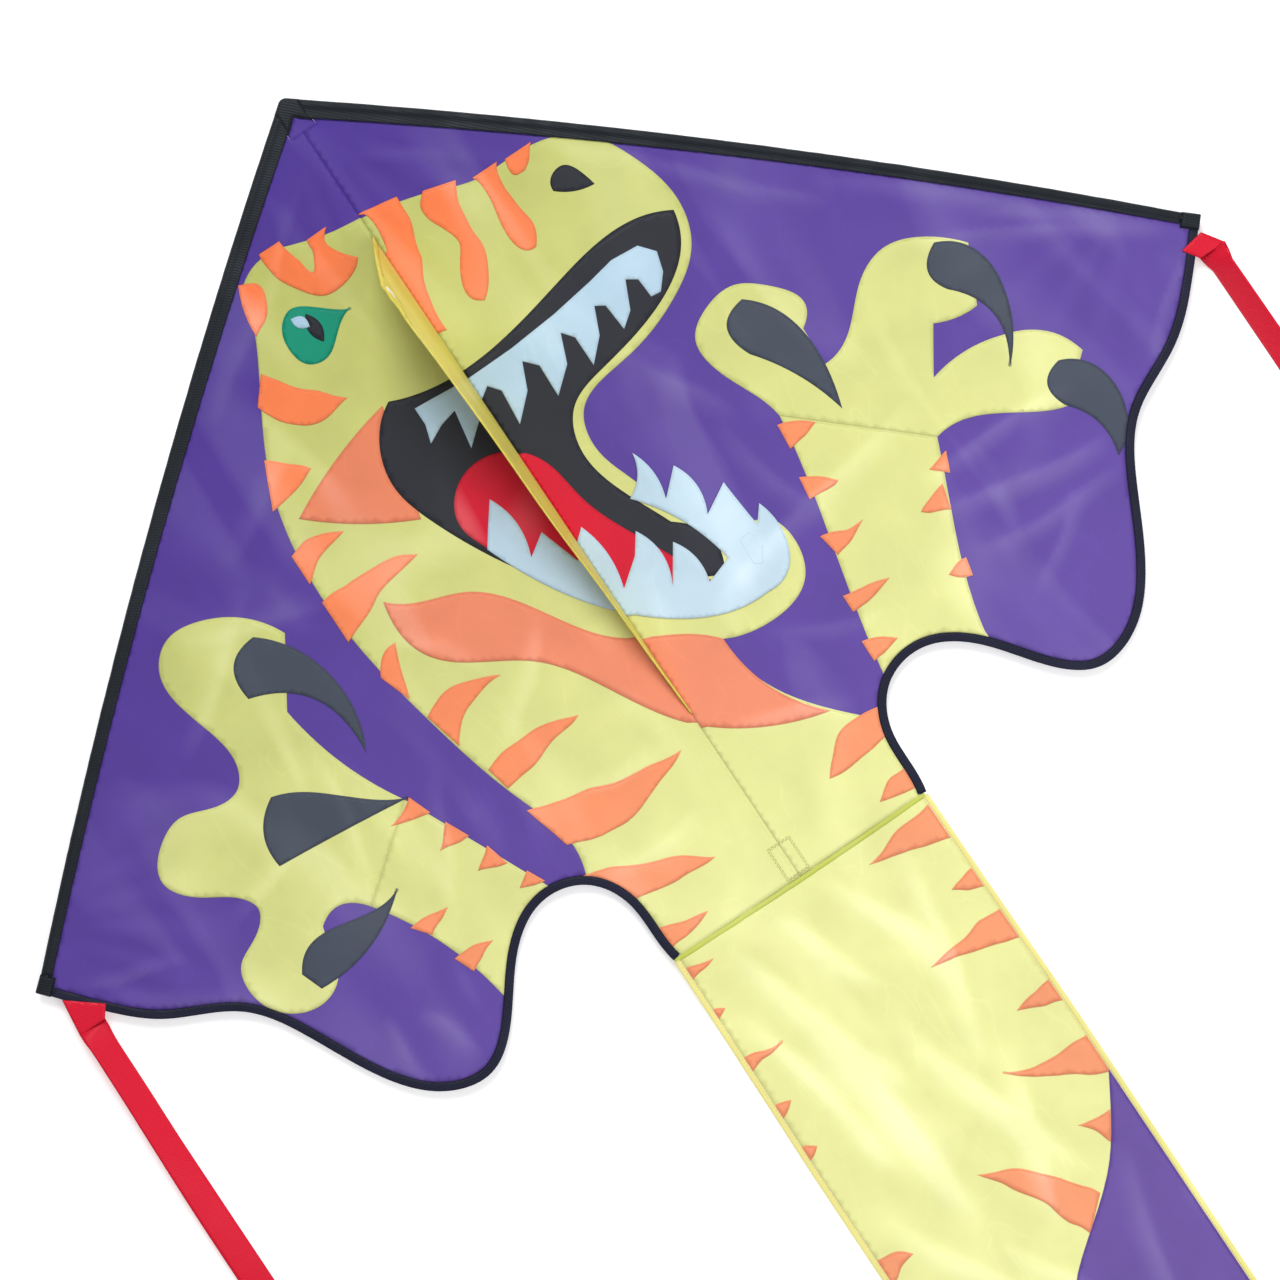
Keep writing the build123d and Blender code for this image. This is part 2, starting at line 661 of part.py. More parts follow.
def ground_sheet(faces, cuts, start_d, ramp, stop_d, lift, height):
    # faces in plan, cut from a sheet whose side view is a slope and a flat run
    profile = (
        (start_d, sail_z + lift), (start_d + ramp, lift), (stop_d, lift),
        (stop_d, lift + height), (start_d + ramp, lift + height), (start_d, sail_z + lift + height),
    )
    with BuildPart() as piece:
        with BuildSketch(Plane.YZ):
            with BuildLine():
                Polyline(*[(nose_y - d, z) for d, z in profile], close=True)
            make_face()
        extrude(amount=kite_length, both=True)
        with BuildSketch(Plane.XY):
            for face in faces:
                add(face)
            for cut in cuts:
                add(cut, mode=Mode.SUBTRACT)
        extrude(amount=2 * sail_z, mode=Mode.INTERSECT)
    return piece.part


def tail_outline(inset):
    narrow, wide, end_d = tail_half_width - inset, tail_wide_half - inset, kite_length - inset
    right = [(narrow, seam_d), (wide, tail_wide_d), (wide, end_d)]
    return polygon(*right, *[(-x, d) for x, d in reversed(right)])


def tail_piece(name, faces, cuts, lift, height):
    start_d = seam_d + tail_gap
    save(ground_sheet(faces, cuts, start_d, tail_ramp, kite_length, lift, height), name)


tail_face = tail_outline(tail_hem)
tail_outer = tail_outline(0)
tail_background = patch(
    [
        (135, 1050), (114, 1085), (85, 1128), (35, 1172), (-10, 1215), (-30, 1300), (-5, 1440),
        (30, 1600), (26, 1760), (-2, 1900),
    ],
    [(-34, 2030), (-54, 1900), (-48, 1740), (-56, 1590), (-90, 1450)],
    [(-135, 1350)],
    [(-135, 2300)],
    [(135, 2300)],
)
tail_stripes = (
    stripe((135, 793), (92, 800), (52, 808), (92, 820), (135, 832)),
    stripe((135, 860), (112, 862), (97, 868), (112, 874), (135, 884)),
    stripe((135, 902), (90, 904), (51, 909), (90, 921), (135, 934)),
    stripe((135, 974), (110, 976), (90, 980), (110, 989), (135, 999)),
    stripe((135, 1030), (90, 1030), (52, 1021), (92, 1050), (135, 1072)),
    stripe((108, 1094), (92, 1094), (77, 1090), (86, 1103), (94, 1120)),
    stripe((62, 1148), (38, 1112), (-14, 1075), (14, 1118), (36, 1172)),
    stripe((-22, 1240), (-48, 1200), (-90, 1180), (-66, 1230), (-30, 1290)),
    stripe((-12, 1400), (-40, 1370), (-78, 1360), (-50, 1395), (-4, 1440)),
    stripe((24, 1560), (0, 1540), (-30, 1535), (-4, 1568), (32, 1600)),
    stripe((26, 1760), (6, 1725), (-20, 1715), (0, 1765), (16, 1815)),
    stripe((-135, 794), (-118, 797), (-100, 801), (-118, 806), (-135, 814)),
    stripe((-135, 836), (-123, 838), (-114, 843), (-123, 848), (-135, 852)),
    stripe((-135, 886), (-112, 888), (-90, 891), (-112, 897), (-135, 904)),
    stripe((-135, 934), (-120, 936), (-112, 941), (-120, 946), (-135, 950)),
    stripe((-135, 976), (-120, 978), (-112, 983), (-120, 988), (-135, 992)),
    stripe((-135, 1090), (-115, 1094), (-98, 1104), (-115, 1112), (-135, 1118)),
    stripe((-135, 1210), (-115, 1216), (-94, 1230), (-115, 1236), (-135, 1240)),
)
tail_piece("tail_panel", (tail_face,), (), 0, cloth)
tail_piece("tail_hem", (tail_outer,), (tail_face,), 0, cloth + 2 * layer)
with BuildSketch() as background_shape:
    add(tail_background)
    add(tail_face, mode=Mode.INTERSECT)
with BuildSketch() as tail_stripe_shape:
    for piece in tail_stripes:
        add(piece)
    add(tail_face, mode=Mode.INTERSECT)
tail_piece("tail_background", (background_shape.sketch,), (), cloth, layer)
tail_piece("tail_stripes", (tail_stripe_shape.sketch,), (tail_background,), cloth, layer)

# Streamers: straight ribbons that lie a little apart from the tail
for side, sign in sides:
    root_x, root_d = streamer_root[side]
    start_d, end_d = root_d + streamer_gap, root_d + streamer_gap + streamer_length
    end_x = root_x + streamer_length * math.tan(math.radians(streamer_splay[side]))
    ribbon = polygon(
        (sign * (root_x - half_ribbon), start_d),
        (sign * (root_x + half_ribbon), start_d),
        (sign * (end_x + half_ribbon), end_d),
        (sign * (end_x - half_ribbon), end_d),
    )
    streamer = ground_sheet((ribbon,), (), start_d, streamer_ramp, end_d, 0, cloth)
    save(streamer, f"streamer_{side}")
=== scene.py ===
import json
import math

import bpy
import numpy as np
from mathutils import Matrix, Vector, noise
from mathutils.geometry import delaunay_2d_cdt


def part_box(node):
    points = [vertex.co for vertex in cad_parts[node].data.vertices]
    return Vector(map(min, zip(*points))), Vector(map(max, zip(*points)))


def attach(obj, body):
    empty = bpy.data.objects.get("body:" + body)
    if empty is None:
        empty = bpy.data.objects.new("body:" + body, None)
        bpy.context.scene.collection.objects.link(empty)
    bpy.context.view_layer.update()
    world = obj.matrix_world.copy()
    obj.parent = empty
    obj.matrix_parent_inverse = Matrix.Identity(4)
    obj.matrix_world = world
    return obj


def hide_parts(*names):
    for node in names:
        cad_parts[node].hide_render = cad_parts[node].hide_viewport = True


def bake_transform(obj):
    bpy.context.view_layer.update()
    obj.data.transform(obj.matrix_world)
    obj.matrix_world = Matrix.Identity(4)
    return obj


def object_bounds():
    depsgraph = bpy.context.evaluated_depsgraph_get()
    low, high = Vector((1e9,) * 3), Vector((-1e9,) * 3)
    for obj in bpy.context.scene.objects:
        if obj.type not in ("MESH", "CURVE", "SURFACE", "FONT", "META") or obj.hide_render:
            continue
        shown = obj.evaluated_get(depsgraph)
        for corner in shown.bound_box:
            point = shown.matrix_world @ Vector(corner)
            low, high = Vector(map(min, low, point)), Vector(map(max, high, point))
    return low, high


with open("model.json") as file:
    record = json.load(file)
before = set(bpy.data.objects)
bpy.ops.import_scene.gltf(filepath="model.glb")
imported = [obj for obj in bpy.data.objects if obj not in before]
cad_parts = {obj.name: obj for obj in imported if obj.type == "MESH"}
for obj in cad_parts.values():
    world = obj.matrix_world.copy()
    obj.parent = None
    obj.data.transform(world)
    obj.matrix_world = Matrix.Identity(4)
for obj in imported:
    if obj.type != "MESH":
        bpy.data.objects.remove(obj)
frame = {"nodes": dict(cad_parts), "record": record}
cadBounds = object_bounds()
print("frame loaded")

nodes = frame["nodes"]
record = frame["record"]
bodyOf = {n: body for body, names in record["behaviour"]["bodies"].items() for n in names}
slotOf = {row["node"]: row["material_slot"] for row in record["subparts"]}
sides = (("right", 1), ("left", -1))
mm = 0.001

noseY = cadBounds[1].y
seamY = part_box("centre_seam_tape")[0].y  # the seam between body and tail
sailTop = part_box("sail_right")[1].z


def smooth(value, low, high):
    # a soft step: 0 up to low, 1 from high on
    t = np.clip((value - low) / (high - low), 0, 1)
    return t * t * (3 - 2 * t)


def toLinear(hexColour):
    # sRGB hex to the linear numbers a shader takes
    parts = [int(hexColour[i:i + 2], 16) / 255 for i in (1, 3, 5)]
    return tuple(c / 12.92 if c <= 0.04045 else ((c + 0.055) / 1.055) ** 2.4 for c in parts) + (1.0,)


def noiseAt(points, size, seed, octaves=2):
    # smooth noise, about -1 to 1, with lumps of that size in metres
    out = np.zeros(len(points))
    for octave in range(octaves):
        scale = 2 ** octave / size
        shift = seed * 17.3 + octave * 5.1
        out += np.array([
            noise.noise((p[0] * scale + shift, p[1] * scale - shift, shift)) for p in points
        ]) / 2 ** octave
    return out


def outlines(name, flatTop=True):
    # the loops round the upward face of a thin CAD node, as arrays of (x, y)
    mesh = nodes[name].data
    mesh.calc_loop_triangles()
    top = max(v.co.z for v in mesh.vertices)
    spots, directed = {}, set()
    for tri in mesh.loop_triangles:
        corners = [mesh.vertices[i].co for i in tri.vertices]
        if tri.normal.z < 0.9 or (flatTop and min(c.z for c in corners) < top - 0.0001):
            continue
        keys = [(round(c.x, 6), round(c.y, 6)) for c in corners]
        for a, b in zip(keys, keys[1:] + keys[:1]):
            if a != b:
                directed.add((a, b))
    for a, b in directed:
        if (b, a) not in directed:
            spots.setdefault(a, []).append(b)
    loops = []
    while spots:
        start = min(spots)
        loop, here = [start], start
        while here in spots:
            following = spots[here].pop()
            if not spots[here]:
                del spots[here]
            if following == start:
                break
            loop.append(following)
            here = following
        loops.append(np.array(loop))
    return [loop for loop in loops if len(loop) > 2]


def spaced(points, step, closed=True):
    # the same line with more points, none further apart than step
    ring = list(points) + ([points[0]] if closed else [])
    out = []
    for a, b in zip(ring, ring[1:]):
        parts = max(1, math.ceil(np.linalg.norm(np.subtract(b, a)) / step))
        out += [np.add(a, np.subtract(b, a) * i / parts) for i in range(parts)]
    if not closed:
        out.append(np.array(ring[-1]))
    return np.array(out)


def evened(points, count):
    # an open line again, as that many points the same distance apart
    points = np.asarray(points, float)
    along = np.concatenate([[0], np.cumsum(np.linalg.norm(np.diff(points, axis=0), axis=1))])
    at = np.linspace(0, along[-1], count)
    return np.stack([np.interp(at, along, points[:, k]) for k in range(points.shape[1])], axis=1)


def insideOf(points, loops):
    # which points lie within the loops
    inside = np.zeros(len(points), bool)
    for loop in loops:
        a, b = loop, np.roll(loop, -1, axis=0)
        for (ax, ay), (bx, by) in zip(a, b):
            if ay != by:
                crosses = (points[:, 1] > min(ay, by)) & (points[:, 1] <= max(ay, by))
                at = ax + (points[:, 1] - ay) * (bx - ax) / (by - ay)
                inside ^= crosses & (points[:, 0] < at)
    return inside


def awayFrom(points, loops):
    # how far each point is from the nearest side of the loops
    best = np.full(len(points), np.inf)
    for loop in loops:
        for a, b in zip(loop, np.roll(loop, -1, axis=0)):
            d = b - a
            t = np.clip(((points - a) @ d) / max(d @ d, 1e-12), 0, 1)
            gap = points - a - t[:, None] * d
            best = np.minimum(best, (gap * gap).sum(1))
    return np.sqrt(best)


def newPiece(name, points, faces, materials, plan=None, faceMaterials=None):
    # plan is where each point lies when the cloth is flat, if that isn't where the point is
    mesh = bpy.data.meshes.new(name)
    mesh.from_pydata([tuple(p) for p in points], [], faces)
    if plan is None:
        plan = points
    attribute = mesh.attributes.new("plan", "FLOAT_VECTOR", "POINT")
    attribute.data.foreach_set("vector", np.asarray(plan, np.float32).ravel())
    # the fold attribute holds the share of painted highlight on each point's fold
    folds = mesh.attributes.new("fold", "FLOAT", "POINT")
    folds.data.foreach_set("value", foldHighlight(np.asarray(plan, float)[:, :2]).astype(np.float32))
    for material in materials:
        mesh.materials.append(material)
    mesh.polygons.foreach_set("use_smooth", [True] * len(mesh.polygons))
    if faceMaterials is not None:
        mesh.polygons.foreach_set("material_index", faceMaterials)
    mesh.validate()
    mesh.update()
    piece = bpy.data.objects.new(name, mesh)
    bpy.context.scene.collection.objects.link(piece)
    return piece


def setInputs(tree, node, inputs):
    # each input by its name or number: a socket is linked to it, anything else becomes its value
    for socket, value in inputs.items():
        if isinstance(value, bpy.types.NodeSocket):
            tree.links.new(value, node.inputs[socket])
        else:
            node.inputs[socket].default_value = value


def addNode(tree, kind, inputs=(), **settings):
    # inputs go by name or number, or as a list in the node's own order
    node = tree.nodes.new(kind)
    for name, value in settings.items():
        setattr(node, name, value)
    setInputs(tree, node, inputs if isinstance(inputs, dict) else dict(enumerate(inputs)))
    return node


cloth = {
    "thickness": 0.3,  # mm
    "pointSpacing": 5.0,  # mm between points of the mesh
    "layerStep": 0.28,  # mm from one sewn-on layer to the next
    "layerLap": 0.05,  # mm that a layer sinks into the one below
    "billow": 1.6,  # mm, slack between the rods
    "tension": 0.55,  # mm, fine pulls that fan out from the nose and the tips
    "crumple": 0.35,  # mm, small creases all over
    "edgeFlutter": 1.8,  # mm, wave of the free edges
    "edgeDroop": 2.2,  # mm that the free edges hang down
    "pocketBump": 0.5,  # mm, over the pocket behind the seam's end
}

# creases left by folding and by the pull of the frame: from (x, d), to (x, d), width, height, in mm
wingFolds = [
    (60, 560, 300, 500, 9, 1.0), (265, 560, 420, 570, 7, 1.2), (262, 600, 425, 620, 8, 1.5),
    (270, 640, 420, 652, 7, 1.1), (300, 700, 372, 640, 6, 0.9), (330, 300, 560, 500, 7, 1.1),
    (360, 380, 560, 505, 6, 0.9), (430, 400, 575, 508, 5, 0.8), (480, 590, 572, 520, 6, 0.9),
    (150, 130, 230, 215, 7, 0.8), (215, 190, 290, 300, 7, 0.8), (270, 250, 330, 330, 6, 0.7),
    (120, 330, 170, 440, 9, 0.9), (150, 430, 190, 560, 9, 0.8), (20, 640, 120, 690, 8, 0.8),
    (-60, 480, -140, 560, 8, 0.9), (-120, 500, -180, 420, 7, 0.7), (-30, 640, -120, 620, 7, 0.8),
    (-250, 330, -380, 420, 8, 0.9), (-280, 460, -300, 600, 6, 0.9), (-330, 520, -420, 560, 7, 0.8),
    (-470, 560, -560, 520, 6, 0.8), (-420, 640, -540, 540, 7, 0.9), (-330, 700, -300, 760, 7, 1.1),
    (-360, 690, -350, 760, 6, 0.9), (-200, 540, -260, 640, 8, 0.8), (-90, 120, -200, 200, 8, 0.7),
    (-150, 250, -260, 300, 9, 0.7), (-20, 60, -120, 160, 6, 0.5), (20, 60, 110, 140, 6, 0.5),
    (-200, 380, -330, 330, 8, 0.8), (80, 600, 190, 640, 7, 0.7), (-140, 700, -40, 690, 7, 0.7),
]
tailFolds = [
    (-90, 800, -20, 980, 10, 1.6), (-40, 800, 10, 900, 8, 1.4), (20, 795, 70, 930, 9, 1.5),
    (90, 800, 40, 1010, 9, 1.2), (-60, 900, -30, 1120, 11, 1.8), (-110, 850, -60, 1050, 8, 1.2),
    (0, 930, 60, 1130, 10, 1.6), (60, 1000, 20, 1160, 9, 1.3), (-100, 1060, -20, 1230, 10, 1.4),
    (-30, 1130, 50, 1300, 10, 1.4), (100, 1120, 50, 1330, 9, 1.2), (-80, 1280, 20, 1480, 11, 1.5),
    (70, 1400, -10, 1620, 11, 1.5), (-90, 1540, 0, 1760, 10, 1.3), (90, 1650, 20, 1880, 11, 1.5),
    (-70, 1800, 30, 2010, 11, 1.4), (80, 1950, -20, 2180, 10, 1.4), (-100, 2050, -40, 2240, 10, 1.2),
]


crease = {
    "strength": 1.35,  # how high the folds stand, as a share of the heights above
    "bow": 4.0,  # mm that a fold wanders from its straight line
    "steepSide": 0.6, "longSide": 1.5,  # reach of its two sides, as shares of its width
    "ends": 0.7,  # how blunt its ends are
    "brightest": 1.6,  # mm, the height from which a fold's painted highlight is palest
}


def foldLift(x, d, folds):
    # each fold has a steeper side and fades out at its ends
    lift = np.zeros(len(x))
    for x0, d0, x1, d1, width, height in folds:
        run = math.hypot(x1 - x0, d1 - d0)
        ux, ud = (x1 - x0) / run, (d1 - d0) / run
        along = ((x - x0) * ux + (d - d0) * ud) / run
        off = (x - x0) * ud - (d - d0) * ux + crease["bow"] * np.sin(along * 5 + x0)
        near = (along > 0) & (along < 1)
        reach = np.where(off > 0, crease["steepSide"] * width, crease["longSide"] * width)
        rise = np.sin(np.pi * np.clip(along, 0, 1)) ** crease["ends"] * np.exp(-(off / reach) ** 2)
        lift += np.where(near, crease["strength"] * height * rise, 0)
    return lift


def foldHighlight(flat):
    # how strongly the cloth is creased at points in metres, from 0 to about 1: the share of painted
    # highlight on its folds
    x, d = flat[:, 0] / mm, (noseY - flat[:, 1]) / mm
    onBody = d * mm < noseY - seamY
    lift = np.where(onBody, foldLift(x, d, wingFolds), foldLift(x, d, tailFolds))
    return np.clip(lift, 0, crease["brightest"]) / crease["brightest"]


tipX = (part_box("leading_edge_sleeve_right")[1].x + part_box("tip_pocket_right")[0].x) / 2 / mm
tipD = (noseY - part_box("tip_pocket_right")[1].y) / mm + 12
edgeLength = math.hypot(tipX, tipD)
edgeAcross, edgeDown = tipX / edgeLength, tipD / edgeLength

# where the body's cloth comes free of what holds it: between these distances, in mm
comesFree = {
    "edge": (12, 70), "middle": (3, 45), "spine": (9, 34), "nosePatch": (15, 60),
    "seam": (700, 784), "seamEnd": (120, 150),  # down from the nose, out from the middle
    "creases": (8, 25), "pulls": (8, 30),  # in from the leading edge
    "noseFan": (40, 120), "noseFanEnd": (160, 420), "tipFan": (20, 80), "tipFanEnd": (140, 360),
    "flutterDown": (470, 700), "flutterOut": (120, 210), "flutterIn": (20, 120),
}


def wingLift(x, y):
    # how far the body's cloth stands off its flat plane, in mm, at points in metres
    x, d = x / mm, (noseY - y) / mm
    ax = np.abs(x)
    plan = np.stack([x, d], axis=1) * mm
    inset = d * edgeAcross - ax * edgeDown
    along = ax * edgeAcross + d * edgeDown
    creased, pulled = smooth(inset, *comesFree["creases"]), smooth(inset, *comesFree["pulls"])
    free = smooth(inset, *comesFree["edge"]) * smooth(ax, *comesFree["middle"])
    free *= 1 - smooth(d, *comesFree["seam"]) * (1 - smooth(ax, *comesFree["seamEnd"]))
    lift = cloth["billow"] * noiseAt(plan, 0.19, 1, 1) * free
    # fine pulls fan out from the nose and from the tip
    fromNose = np.hypot(x, d)
    angle = np.degrees(np.arctan2(x, d))
    fan = np.sin(angle * 0.55 + 1.5 * np.sin(angle * 0.13)) * smooth(fromNose, *comesFree["noseFan"])
    lift += cloth["tension"] * fan * (1 - smooth(fromNose, *comesFree["noseFanEnd"])) * pulled
    tipAngle = np.degrees(np.arctan2(tipX - ax, d - tipD + 60))
    fromTip = np.hypot(tipX - ax, d - tipD)
    tipFan = np.sin(tipAngle * 0.42 + np.sign(x)) * smooth(fromTip, *comesFree["tipFan"])
    lift += 1.3 * cloth["tension"] * tipFan * (1 - smooth(fromTip, *comesFree["tipFanEnd"])) * pulled
    # small creases, longer one way than the other, and finer ones over them
    stretchedPlan = np.stack([plan @ [0.7, 0.7], plan @ [-0.25, 0.25]], axis=1)
    lift += cloth["crumple"] * noiseAt(stretchedPlan, 0.028, 3, 2) * creased
    lift += cloth["crumple"] * 0.5 * noiseAt(plan, 0.016, 7, 1) * creased
    lift += foldLift(x, d, wingFolds) * creased
    # the scalloped edge hangs free between the rods' ends
    outer = smooth(d - ax * 0.2, *comesFree["flutterDown"]) * smooth(ax, *comesFree["flutterOut"])
    outer *= smooth(inset, *comesFree["flutterIn"])
    lift += cloth["edgeFlutter"] * outer * np.sin(ax / 38 + np.sign(x) * 1.1) - cloth["edgeDroop"] * outer
    # near the middle the cloth rests on the tape and the spine, so it can't sag there
    lift = np.maximum(lift, -0.08 - 4 * smooth(ax, *comesFree["spine"]))
    # the pocket behind the seam's end lifts the cloth a little
    overPocket = smooth(13.5 - ax, 0, 2) * smooth(d - 746, 0, 3) * (1 - smooth(d, 782, 785))
    return lift * smooth(along, *comesFree["nosePatch"]) + cloth["pocketBump"] * overPocket


# how the tail drops from the seam to the floor, and how it lies there
lay = {
    "from": 12.0, "drop": 11.2, "over": 90.0,  # mm
    "wavesFrom": (787, 815),  # mm down from the nose, over which its waves begin
    "waves": 1.6, "ripples": 0.6,  # mm
}


def tailLift(x, y):
    # height of the tail's top face above the floor, in mm
    xm, d = x / mm, (noseY - y) / mm
    plan = np.stack([x, y], axis=1)
    down = smooth((seamY - y) / (lay["over"] * mm), 0.0, 1.0)
    waves = lay["waves"] * (1 + noiseAt(plan, 0.11, 5, 1))
    waves = waves + lay["ripples"] * (1 + noiseAt(plan * [1.6, 0.5], 0.03, 9, 2))
    moved = smooth(d, *lay["wavesFrom"]) * (waves * (0.35 + 0.65 * down) + foldLift(xm, d, tailFolds))
    return lay["from"] - lay["drop"] * down + moved


def onWing(x, y):
    return sailTop + wingLift(x, y) * mm


def onTail(x, y):
    return tailLift(x, y) * mm


def upright(heightAt, lift=0.0):
    # places plan points on a surface; returns the points and the way their cloth faces
    def place(flat):
        x, y = flat[:, 0], flat[:, 1]
        points = np.column_stack([x, y, heightAt(x, y) + lift * mm])
        return points, np.tile([0.0, 0.0, 1.0], (len(x), 1))
    return place


def flatAt(height):
    # a level place, that many mm above the floor
    return upright(lambda x, y: np.full(len(x), height * mm))


def heightsUnder(heightAt, point, inward, profile):
    # the cloth's height in mm under each point of a strip's section
    ring = np.array([point + inward * inset * mm for inset, _ in profile])
    return heightAt(ring[:, 0], ring[:, 1]) / mm


def offsetLoop(loop, distance):
    # a closed counter-clockwise loop moved inwards along its normals
    before, after = np.roll(loop, 1, axis=0), np.roll(loop, -1, axis=0)
    run = after - before
    run /= np.maximum(np.linalg.norm(run, axis=1), 1e-9)[:, None]
    return loop + np.column_stack([-run[:, 1], run[:, 0]]) * distance


def counterClockwise(loop):
    x, y = loop[:, 0], loop[:, 1]
    area = (x * np.roll(y, -1) - np.roll(x, -1) * y).sum()
    return loop if area > 0 else loop[::-1]


def sheetParts(loops, place, thickness, spacing, rimRings=()):
    # points and faces of a thin closed sheet cut to those loops, its upper face where place puts it
    step = spacing * mm
    rings = [spaced(loop, step) for loop in loops]
    everyPoint = np.vstack(rings)
    low, high = everyPoint.min(0), everyPoint.max(0)
    rows = np.arange(low[1], high[1], step * 0.866)
    columns = np.arange(low[0], high[0], step)
    grid = np.array([(x + (i % 2) * step / 2, y) for i, y in enumerate(rows) for x in columns])
    grid = grid.reshape(-1, 2)
    clear = 0.45 * step + (max(rimRings) * mm if rimRings else 0)
    for rimRing in rimRings:
        inner = np.vstack([offsetLoop(counterClockwise(ring), rimRing * mm) for ring in rings])
        inner = inner[insideOf(inner, loops)]
        rings.append(inner[awayFrom(inner, loops) > 0.8 * rimRing * mm])
    if len(grid):
        grid = grid[insideOf(grid, loops)]
    if len(grid):
        grid = grid[awayFrom(grid, loops) > clear]
    points, edges = [], []
    for ring in rings[:len(loops)]:
        first = len(points)
        points += [tuple(p) for p in ring]
        edges += [(first + i, first + (i + 1) % len(ring)) for i in range(len(ring))]
    for ring in rings[len(loops):]:
        points += [tuple(p) for p in ring]
    points += [tuple(p) for p in grid]
    made, _, triangles, *_ = delaunay_2d_cdt([Vector(p) for p in points], edges, [], 4, 1e-7)
    flat = np.array([tuple(v) for v in made])
    tris = np.array([t for t in triangles if len(t) == 3])
    a, b, c = flat[tris[:, 0]], flat[tris[:, 1]], flat[tris[:, 2]]
    area = (b[:, 0] - a[:, 0]) * (c[:, 1] - a[:, 1]) - (b[:, 1] - a[:, 1]) * (c[:, 0] - a[:, 0])
    tris, area = tris[np.abs(area) > 1e-12], area[np.abs(area) > 1e-12]
    tris[area < 0] = tris[area < 0][:, ::-1]
    directed = {(int(p), int(q)) for t in tris for p, q in ((t[0], t[1]), (t[1], t[2]), (t[2], t[0]))}
    rim = [(p, q) for p, q in sorted(directed) if (q, p) not in directed]
    top, facing = place(flat)
    if np.isscalar(thickness):
        bottom = top - facing * thickness * mm
    else:
        bottom = top - facing * thickness[1](flat)[:, None] * mm
        top = top + facing * thickness[0](flat)[:, None] * mm
    count = len(top)
    faces = [tuple(int(i) for i in t) for t in tris]
    faces += [(int(t[2]) + count, int(t[1]) + count, int(t[0]) + count) for t in tris]
    faces += [(q, p, p + count, q + count) for p, q in rim]
    flatArea = float(np.abs(area).sum() / 2)
    return np.vstack([top, bottom]), faces, flatArea


thread = {
    "radius": 0.16, "pitch": 3.2, "length": 2.6, "zigzag": 1.0, "zigzagPitch": 1.9,  # mm
    "inset": 1.3,  # mm from a layer's edge to the middle of its zigzag
    "clearOfMiddle": 3.0,  # mm beside the centre seam that has no zigzag
    "longestGap": 4.0,  # mm, a longer one is where the row breaks off
    "corners": 4,
    # rings of one stitch: (share of its length, mm above the cloth, share of its radius)
    "rings": ((0.0, -0.22, 0.5), (0.18, 0.08, 0.9), (0.5, 0.16, 1.0), (0.82, 0.08, 0.9), (1.0, -0.22, 0.5)),
}


def stitchParts(starts, ends, facings):
    # one short bowed thread for each pair of points: its ends dive into the cloth
    starts, ends = np.asarray(starts), np.asarray(ends)
    facings = np.broadcast_to(facings, starts.shape)
    run = ends - starts
    sideways = np.cross(facings, run)
    sideways /= np.maximum(np.linalg.norm(sideways, axis=1), 1e-9)[:, None]
    rings, corners = thread["rings"], thread["corners"]
    points, faces = [], []
    for t, lift, size in rings:
        centreLine = starts + run * t + facings * lift * mm
        for k in range(corners):
            angle = 2 * math.pi * k / corners
            radius = thread["radius"] * size * mm
            way = sideways * radius * math.cos(angle) + facings * radius * math.sin(angle)
            points.append(centreLine + way)
    points = np.stack(points, axis=1).reshape(-1, 3)  # ring after ring for each stitch
    perStitch = len(rings) * corners
    pattern = []
    for ring in range(len(rings) - 1):
        for k in range(corners):
            a, b = ring * corners + k, ring * corners + (k + 1) % corners
            pattern.append((a, a + corners, b + corners, b))
    capStart = tuple(range(corners))
    capEnd = tuple((len(rings) - 1) * corners + k for k in reversed(range(corners)))
    for i in range(len(starts)):
        base = i * perStitch
        faces += [tuple(v + base for v in face) for face in pattern]
        faces += [tuple(v + base for v in capStart), tuple(v + base for v in capEnd)]
    return points, faces


def straightRow(path, place):
    # straight stitches along an open plan line
    length = np.linalg.norm(np.diff(path, axis=0), axis=1).sum()
    count = max(2, int(length / (thread["pitch"] * mm)))
    marks = evened(path, count * 8 + 1)
    keep = int(8 * thread["length"] / thread["pitch"])
    starts, facings = place(marks[0:-8:8])
    ends, _ = place(marks[keep::8][:len(starts)])
    return stitchParts(starts, ends, facings)


def zigzagRow(loop, loops, place, covers=()):
    # zigzag stitches just inside a closed edge, none where another layer covers them
    ring = offsetLoop(counterClockwise(spaced(loop, 1.0 * mm)), thread["inset"] * mm)
    ring = ring[awayFrom(ring, loops) > 0.75 * thread["inset"] * mm]
    ring = ring[np.abs(ring[:, 0]) > thread["clearOfMiddle"] * mm]
    if len(ring) < 8:
        return None
    gaps = np.linalg.norm(np.diff(ring, axis=0), axis=1)
    length = gaps[gaps < thread["longestGap"] * mm].sum()
    count = max(4, 2 * int(length / (thread["zigzagPitch"] * mm)))
    ring = evened(ring, count)
    run = np.gradient(ring, axis=0)
    run /= np.maximum(np.linalg.norm(run, axis=1), 1e-9)[:, None]
    out = np.column_stack([-run[:, 1], run[:, 0]])
    swing = np.where(np.arange(count) % 2 == 0, 1, -1)[:, None] * thread["zigzag"] / 2 * mm
    marks = ring + out * swing
    near = np.linalg.norm(np.diff(marks, axis=0), axis=1) < thread["longestGap"] * mm
    for cover in covers:
        near &= ~insideOf(marks[:-1], cover)
    placed, facings = place(marks)
    return stitchParts(placed[:-1][near], placed[1:][near], facings[:-1][near])


def joined(*parts):
    # several (points, faces) as one, with the number of each face's part
    points, faces, owners, first = [], [], [], 0
    for number, part in enumerate(parts):
        if part is None:
            continue
        points.append(part[0])
        faces += [tuple(v + first for v in face) for face in part[1]]
        owners += [min(number, 1)] * len(part[1])
        first += len(part[0])
    return np.vstack(points), faces, owners


